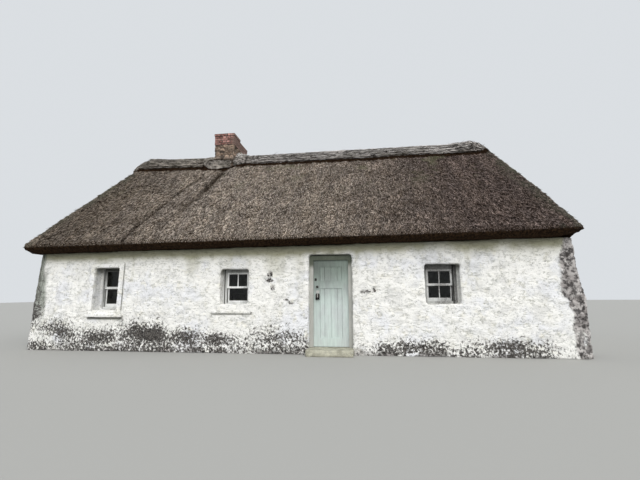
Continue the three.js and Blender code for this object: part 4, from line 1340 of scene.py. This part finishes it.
# Fittings as (left, right, front, back, foot, head), the first four from where the pull sits on the leaf.
HASP = [(-0.036, 0.036, 0.006, 0, 1.358, 1.415), (-0.018, 0.018, 0.011, 0.005, 1.345, 1.404)]
PULL = [
    (-0.044, 0.044, 0.004, 0, 1.205, 1.345),
    (-0.042, -0.010, 0.046, 0.003, 1.209, 1.330),
    (-0.042, 0.040, 0.046, 0.003, 1.209, 1.250),
    (0.012, 0.040, 0.046, 0.003, 1.213, 1.328),
]
GRIP = [(-0.011, 0.012, 0.030, 0.004, 1.256, 1.330)]


def leaf_boxes():
    """A framed and boarded leaf: stiles, rails and spaced boards, with a sheet behind the boards."""
    (x0, front, z0), (x1, back, z1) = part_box("door_leaf")
    left, right = x0 + STILE, x1 - STILE
    boxes = [((x0, front, z0), (left, back, z1)), ((right, front, z0), (x1, back, z1))]
    for foot, head in ((z0, BOTTOM_RAIL_HEAD), LOCK_RAIL, (TOP_RAIL_FOOT, z1)):
        boxes.append(((left - LAP, front, foot), (right + LAP, back - 0.002, head)))
    edges = (left, *BOARD_JOINTS, right)
    foot, head = z0 + 0.1, z1 - 0.06
    for near, far in zip(edges, edges[1:]):
        low_corner = (near + BOARD_GAP / 2, front + BOARD_INSET, foot)
        boxes.append((low_corner, (far - BOARD_GAP / 2, back - BOARD_INSET, head)))
    boxes.append(((left - 0.01, back - 0.020, foot), (right + 0.01, back - 0.014, head)))
    return boxes


def seat_of(node):
    """The middle of the back of a fitting, where it sits on the leaf."""
    low, high = (np.array(corner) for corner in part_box(node))
    middle = (low + high) / 2
    return np.array([middle[0], high[1], middle[2]])


def add_leaf(paint):
    mesh = boxes_mesh("door_leaf_boards", leaf_boxes(), DOOR_EDGE)
    x, _, z = points_of(mesh).T
    latch_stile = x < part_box("door_leaf")[0][0] + STILE + 0.003
    # Painted shadow from the frame's head and jamb on the upper part of the latch stile.
    give(mesh, dirt=0.30 * latch_stile * ramp(z, 1.2, 2.0))
    add_piece(mesh, paint, ["door_leaf"], body="door", smooth=False)


def add_knob_and_latch(iron):
    knob = lathe_mesh("door_knob_turned", KNOB, seat_of("door_knob"), 40)
    add_piece(knob, iron, ["door_knob"], body="door")
    face = lathe_mesh("latch_face", LATCH_FACE, seat_of("door_latch"), 32)
    low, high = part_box("door_latch")
    plate = boxes_mesh("latch_plate", [((low[0], high[1] - 0.004, low[2]), tuple(high))], 0.001)
    latch = joined("door_latch_parts", [face, plate])
    add_piece(latch, iron, ["door_latch"], body="door", smooth=False)


def fitting_boxes(parts):
    x, face, _ = seat_of("door_handle")
    corners = np.array(parts)[:, [0, 2, 4, 1, 3, 5]] * (1, -1, 1, 1, -1, 1) + (x, face, 0, x, face, 0)
    return [(corner[:3], corner[3:]) for corner in corners]


def add_pull(iron, pale_metal):
    """A pale hasp and plate above a black pull with a light grip."""
    hasp = boxes_mesh("door_hasp", fitting_boxes(HASP), 0.0015)
    add_piece(hasp, pale_metal, body="door", smooth=False)
    pull = boxes_mesh("door_pull", fitting_boxes(PULL), 0.004, 3)
    add_piece(pull, iron, ["door_handle"], body="door", smooth=False)
    grip = boxes_mesh("door_pull_core", fitting_boxes(GRIP), 0.003)
    add_piece(grip, pale_metal, body="door", smooth=False)


def add_doorstep(stone):
    mesh = remeshed(["doorstep"], 0.022)
    points = points_of(mesh)
    push_out(mesh, points, 0.006 * layered_noise(points, 0.25, 111) + 0.003 * soft_noise(points, 0.05, 112))
    add_piece(mesh, stone, ["doorstep"])


def add_door(paint, trim, iron, pale_metal, stone):
    add_leaf(paint)
    paint_node("door_frame", trim)
    add_knob_and_latch(iron)
    add_pull(iron, pale_metal)
    for node in ("door_hinge_lower", "door_hinge_upper", "frame_hinge_lower", "frame_hinge_upper"):
        paint_node(node, iron)
    add_doorstep(stone)


# Chimney

BRICK = {"long": 0.222, "high": 0.082, "deep": 0.05, "joint": 0.017, "bed": 0.007, "proud": 0.006}
COURSES = 4
# The bricks of the top course that reach past both this x and this y are lost.
LOST = (-2.36, 0.09)
FLUE = {"middle": -2.41, "half": 0.25, "front": -0.4, "back": 0.6}
# The roof hides the stack below this height.
STACK_SHOWS = 5.30
STACK_STONE = (0.15, 0.15, 0.085)
HOLE = {"at": (-2.10, -0.28, 5.99), "size": (0.10, 0.07, 0.05)}
FILLET_SIDES = (-2.13, -2.072)
FILLET = [(-0.38, 5.60), (-0.36, 5.68), (-0.26, 5.80), (0.15, 6.05), (0.54, 6.21), (0.74, 6.23), (0.74, 5.60)]


def brick_boxes(grow, foot, head, courses, rng):
    """Bricks round the chimney head, which is grown in plan, each a little out of line and with a tone."""
    low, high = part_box("chimney_brick_head")
    west, south, east, north = low[0] - grow, low[1] - grow, high[0] + grow, high[1] + grow
    sides = [(True, south, 1), (True, north, -1), (False, west, 1), (False, east, -1)]
    boxes, tones = [], []
    step = (head - foot) / courses
    for course in range(courses):
        z = foot + course * step
        long = BRICK["long"] * (0.5 if course % 2 else 1.0) + BRICK["joint"]
        for along_x, edge, inward in sides:
            first, last = (west, east) if along_x else (south, north)
            count = max(2, round((last - first) / long))
            cuts = np.linspace(first, last, count + 1)
            cuts[1:-1] += rng.uniform(-0.008, 0.008, count - 1)
            starts, ends = cuts[:-1] + BRICK["joint"] / 2, cuts[1:] - BRICK["joint"] / 2
            starts[0], ends[-1] = first, last
            for along in zip(starts, ends):
                out = rng.uniform(-0.003, 0.004)
                across = sorted((edge - inward * out, edge + inward * BRICK["deep"]))
                up = (z + BRICK["bed"] + rng.uniform(-0.002, 0.002), z + step - BRICK["bed"])
                plan = (along, across) if along_x else (across, along)
                boxes.append(tuple(zip(*plan, up)))
                tones.append(rng.random())
    return boxes, tones


def add_bricks(brick):
    """Courses of brick under a wider one that has lost its right back corner."""
    rng = np.random.default_rng(12)
    low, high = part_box("chimney_brick_head")
    lip = high[2] - BRICK["high"]
    boxes, tones = brick_boxes(-BRICK["proud"], low[2], lip, COURSES, rng)
    for box, tone in zip(*brick_boxes(BRICK["proud"], lip, high[2] - 0.002, 1, rng)):
        if box[1][0] < LOST[0] or box[1][1] < LOST[1]:
            boxes.append(box)
            tones.append(tone)
    mesh = boxes_mesh("chimney_bricks", boxes, 0.007)
    points = points_of(mesh)
    push_out(mesh, points, 0.003 * soft_noise(points, 0.03, 121) + 0.003 * soft_noise(points, 0.011, 122))
    # The right side of the head is painted darker and nearer the mortar's colour, as shade.
    right_side = ramp(points[:, 0], high[0] - 0.072, high[0] - 0.032)
    own = np.repeat(tones, len(points) // len(boxes)) * (1 - 0.7 * right_side)
    give(mesh, own=own, joint=0.35 * right_side)
    add_piece(mesh, brick, smooth=False)


def in_flue(points):
    x, y, _ = points.T
    return (np.abs(x - FLUE["middle"]) < FLUE["half"]) & (y > FLUE["front"]) & (y < FLUE["back"])


def add_stack(rubble):
    """The stone stack, mortared over at its foot, with a small hole in its right side."""
    mesh = remeshed(["chimney_stack"], 0.018)
    points = points_of(mesh)
    mesh = thinned(mesh, (points[:, 2] < STACK_SHOWS) | in_flue(points))
    points = points_of(mesh)
    deep, own = stone_field(wavered(points, 0.15, 0.02, 130), STACK_STONE, 135)
    hole = ramp(np.linalg.norm((points - HOLE["at"]) / HOLE["size"], axis=1), 1.1, 0.6)
    mortared = ramp(points[:, 2] + 0.10 * layered_noise(points, 0.2, 137), 5.70, 5.58)
    push = 0.028 * (ramp(deep, 0, 0.5) - 0.75) + 0.012 * (own - 0.5) + 0.006 * soft_noise(points, 0.03, 136)
    push = (push - 0.05 * hole) * (1 - 0.6 * mortared) + 0.006 * mortared
    smeared = mortared * ramp(layered_noise(points, 0.08, 138), -0.5, 0.1)
    # Painted shade in the deep joints between the stones, and the hole painted nearly black.
    shadow = ramp(deep, 0.16, 0.02) * ramp(layered_noise(points, 0.14, 139), -0.5, 0.1) * (1 - mortared)
    joint = np.maximum(0.35 * (1 - ramp(deep, 0.05, 0.3)), 0.6 * smeared)
    give(mesh, own=own, joint=joint, deep=np.maximum(hole, 0.85 * shadow))
    points += normals_of(mesh) * (push * ~in_flue(points))[:, None]
    points[:, 1] += 0.16 * ramp(points[:, 2], 5.60, 5.46) * (points[:, 1] < FLUE["front"])
    move_points(mesh, points)
    add_piece(mesh, rubble, ["chimney_stack"])


def add_fillet(mortar):
    """The pale mortar that climbs the right side of the stack towards the back."""
    shape = bmesh.new()
    near, far = FILLET_SIDES
    shape.faces.new([shape.verts.new((near, y, z)) for y, z in FILLET])
    for grown in bmesh.ops.extrude_face_region(shape, geom=shape.faces[:])["geom"]:
        if isinstance(grown, bmesh.types.BMVert):
            grown.co.x = far
    bmesh.ops.recalc_face_normals(shape, faces=shape.faces)
    mesh = even_skin(mesh_of("chimney_fillet", shape), 0.017)
    points = points_of(mesh)
    push = 0.010 * layered_noise(points, 0.14, 141) + 0.004 * soft_noise(points, 0.03, 142)
    points = push_out(mesh, points, push)
    top = np.interp(points[:, 1], *np.array(FILLET[:-1]).T)
    points[:, 0] -= 0.030 * ramp(points[:, 2] - top, -0.16, 0.0)
    move_points(mesh, points)
    add_piece(mesh, mortar)


def add_chimney(brick, rubble, mortar, pale_mortar, plaster):
    add_bricks(brick)
    paint_node("chimney_brick_head", mortar)
    add_stack(rubble)
    add_fillet(pale_mortar)
    paint_node("chimney_breast", plaster)


# Stage

CAMERA = {"at": (1.982, -10.901, 1.349), "turns": (-7.35, 8.44, -0.26), "lens": 20.25, "sensor": 36}
SUN = {"at": (5, -13, 13), "aim": (0, 0, 2), "energy": 2.43, "width": 60, "colour": (1.0, 0.97, 0.93)}
SKY = {"colour": (0.84, 0.875, 0.91, 1), "strength": 0.84}
FLOOR_REACH = 60


def add_camera():
    """The viewpoint of the photo: standing height, a little right of the door."""
    data = bpy.data.cameras.new("camera")
    data.lens = CAMERA["lens"]
    data.sensor_width = CAMERA["sensor"]
    camera = bpy.data.objects.new("camera", data)
    bpy.context.scene.collection.objects.link(camera)
    yaw, pitch, roll = map(math.radians, CAMERA["turns"])
    ahead = Vector((math.sin(yaw) * math.cos(pitch), math.cos(yaw) * math.cos(pitch), math.sin(pitch)))
    right = Vector((math.cos(yaw), -math.sin(yaw), 0))
    up = right.cross(ahead)
    c, s = math.cos(roll), math.sin(roll)
    matrix = Matrix((c * right + s * up, c * up - s * right, -ahead)).transposed().to_4x4()
    matrix.translation = CAMERA["at"]
    camera.matrix_world = matrix
    bpy.context.scene.camera = camera


def add_sun():
    data = bpy.data.lights.new("sky_key", "SUN")
    data.energy = SUN["energy"]
    data.color = SUN["colour"]
    data.angle = math.radians(SUN["width"])
    sun = bpy.data.objects.new("sky_key", data)
    bpy.context.scene.collection.objects.link(sun)
    sun.location = SUN["at"]
    sun.rotation_euler = (Vector(SUN["aim"]) - Vector(SUN["at"])).to_track_quat("-Z", "Y").to_euler()


def add_stage():
    world = bpy.data.worlds.new("studio")
    bpy.context.scene.world = world
    world.use_nodes = True
    background = world.node_tree.nodes["Background"]
    background.inputs["Color"].default_value = SKY["colour"]
    background.inputs["Strength"].default_value = SKY["strength"]
    corners = [(FLOOR_REACH * x, FLOOR_REACH * y, 0) for x, y in ((-1, -1), (1, -1), (1, 1), (-1, 1))]
    mesh = mesh_from("stage_floor", corners, [[0, 1, 2, 3]])
    mesh.materials.append(Look("stage_floor", (0.40, 0.40, 0.385)).finish(0.9))
    floor = bpy.data.objects.new("stage_floor", mesh)
    bpy.context.scene.collection.objects.link(floor)
    add_sun()
    bpy.context.scene.view_settings.view_transform = "Standard"


def build_roof():
    add_thatch(thatch_material())
    add_ridge(ridge_material())
    timber = timber_material()
    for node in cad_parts:
        if node.startswith("roof_couple"):
            paint_node(node, timber)


def build_front():
    white = paint_material("sash_paint", (0.80, 0.81, 0.80), (0.58, 0.59, 0.58), (0.16, 0.15, 0.135), 0.62)
    old = paint_material("old_sash_paint", (0.58, 0.59, 0.58), (0.36, 0.36, 0.355), (0.12, 0.11, 0.10), 0.56)
    add_windows(white, old, glass_material())
    leaf_shades = (0.545, 0.630, 0.603), (0.505, 0.553, 0.548), (0.28, 0.27, 0.25)
    leaf = paint_material("door_paint", *leaf_shades, 0.68, dark=(1.05, 2.15, (0.365, 0.39, 0.355)))
    frame_shades = (0.385, 0.39, 0.36), (0.45, 0.45, 0.425), (0.22, 0.20, 0.17)
    trim = paint_material("door_frame_paint", *frame_shades, 0.64, dark=(2.02, 2.20, (0.20, 0.23, 0.18)))
    iron = metal_material("black_iron", (0.035, 0.034, 0.033), 0.62, 0.8)
    galvanized = metal_material("galvanized", (0.46, 0.46, 0.44), 0.64, 0.5)
    stone = stone_material("step_stone", (0.32, 0.31, 0.25), (0.54, 0.53, 0.43), 6, 0.5, 0.5)
    add_door(leaf, trim, iron, galvanized, stone)


def build_chimney():
    brick = masonry_material("old_brick", (0.13, 0.055, 0.045), (0.50, 0.27, 0.235), (0.30, 0.25, 0.21), 0.45)
    shades = (0.022, 0.015, 0.011), (0.36, 0.265, 0.20)
    rubble = masonry_material("stack_rubble", *shades, (0.26, 0.22, 0.185), 0.4)
    mortar = stone_material("brick_mortar", (0.05, 0.042, 0.037), (0.13, 0.11, 0.10), 20, 0.6)
    pale_mortar = stone_material("fillet_mortar", (0.30, 0.28, 0.26), (0.78, 0.74, 0.70), 14, 0.6)
    plaster = stone_material("breast_plaster", (0.46, 0.45, 0.41), (0.66, 0.65, 0.61), 2.5, 0.4)
    add_chimney(brick, rubble, mortar, pale_mortar, plaster)


build_roof()
add_walls(limewash_material())
build_front()
build_chimney()
paint_node("floor", flagstone_material())
add_camera()
add_stage()
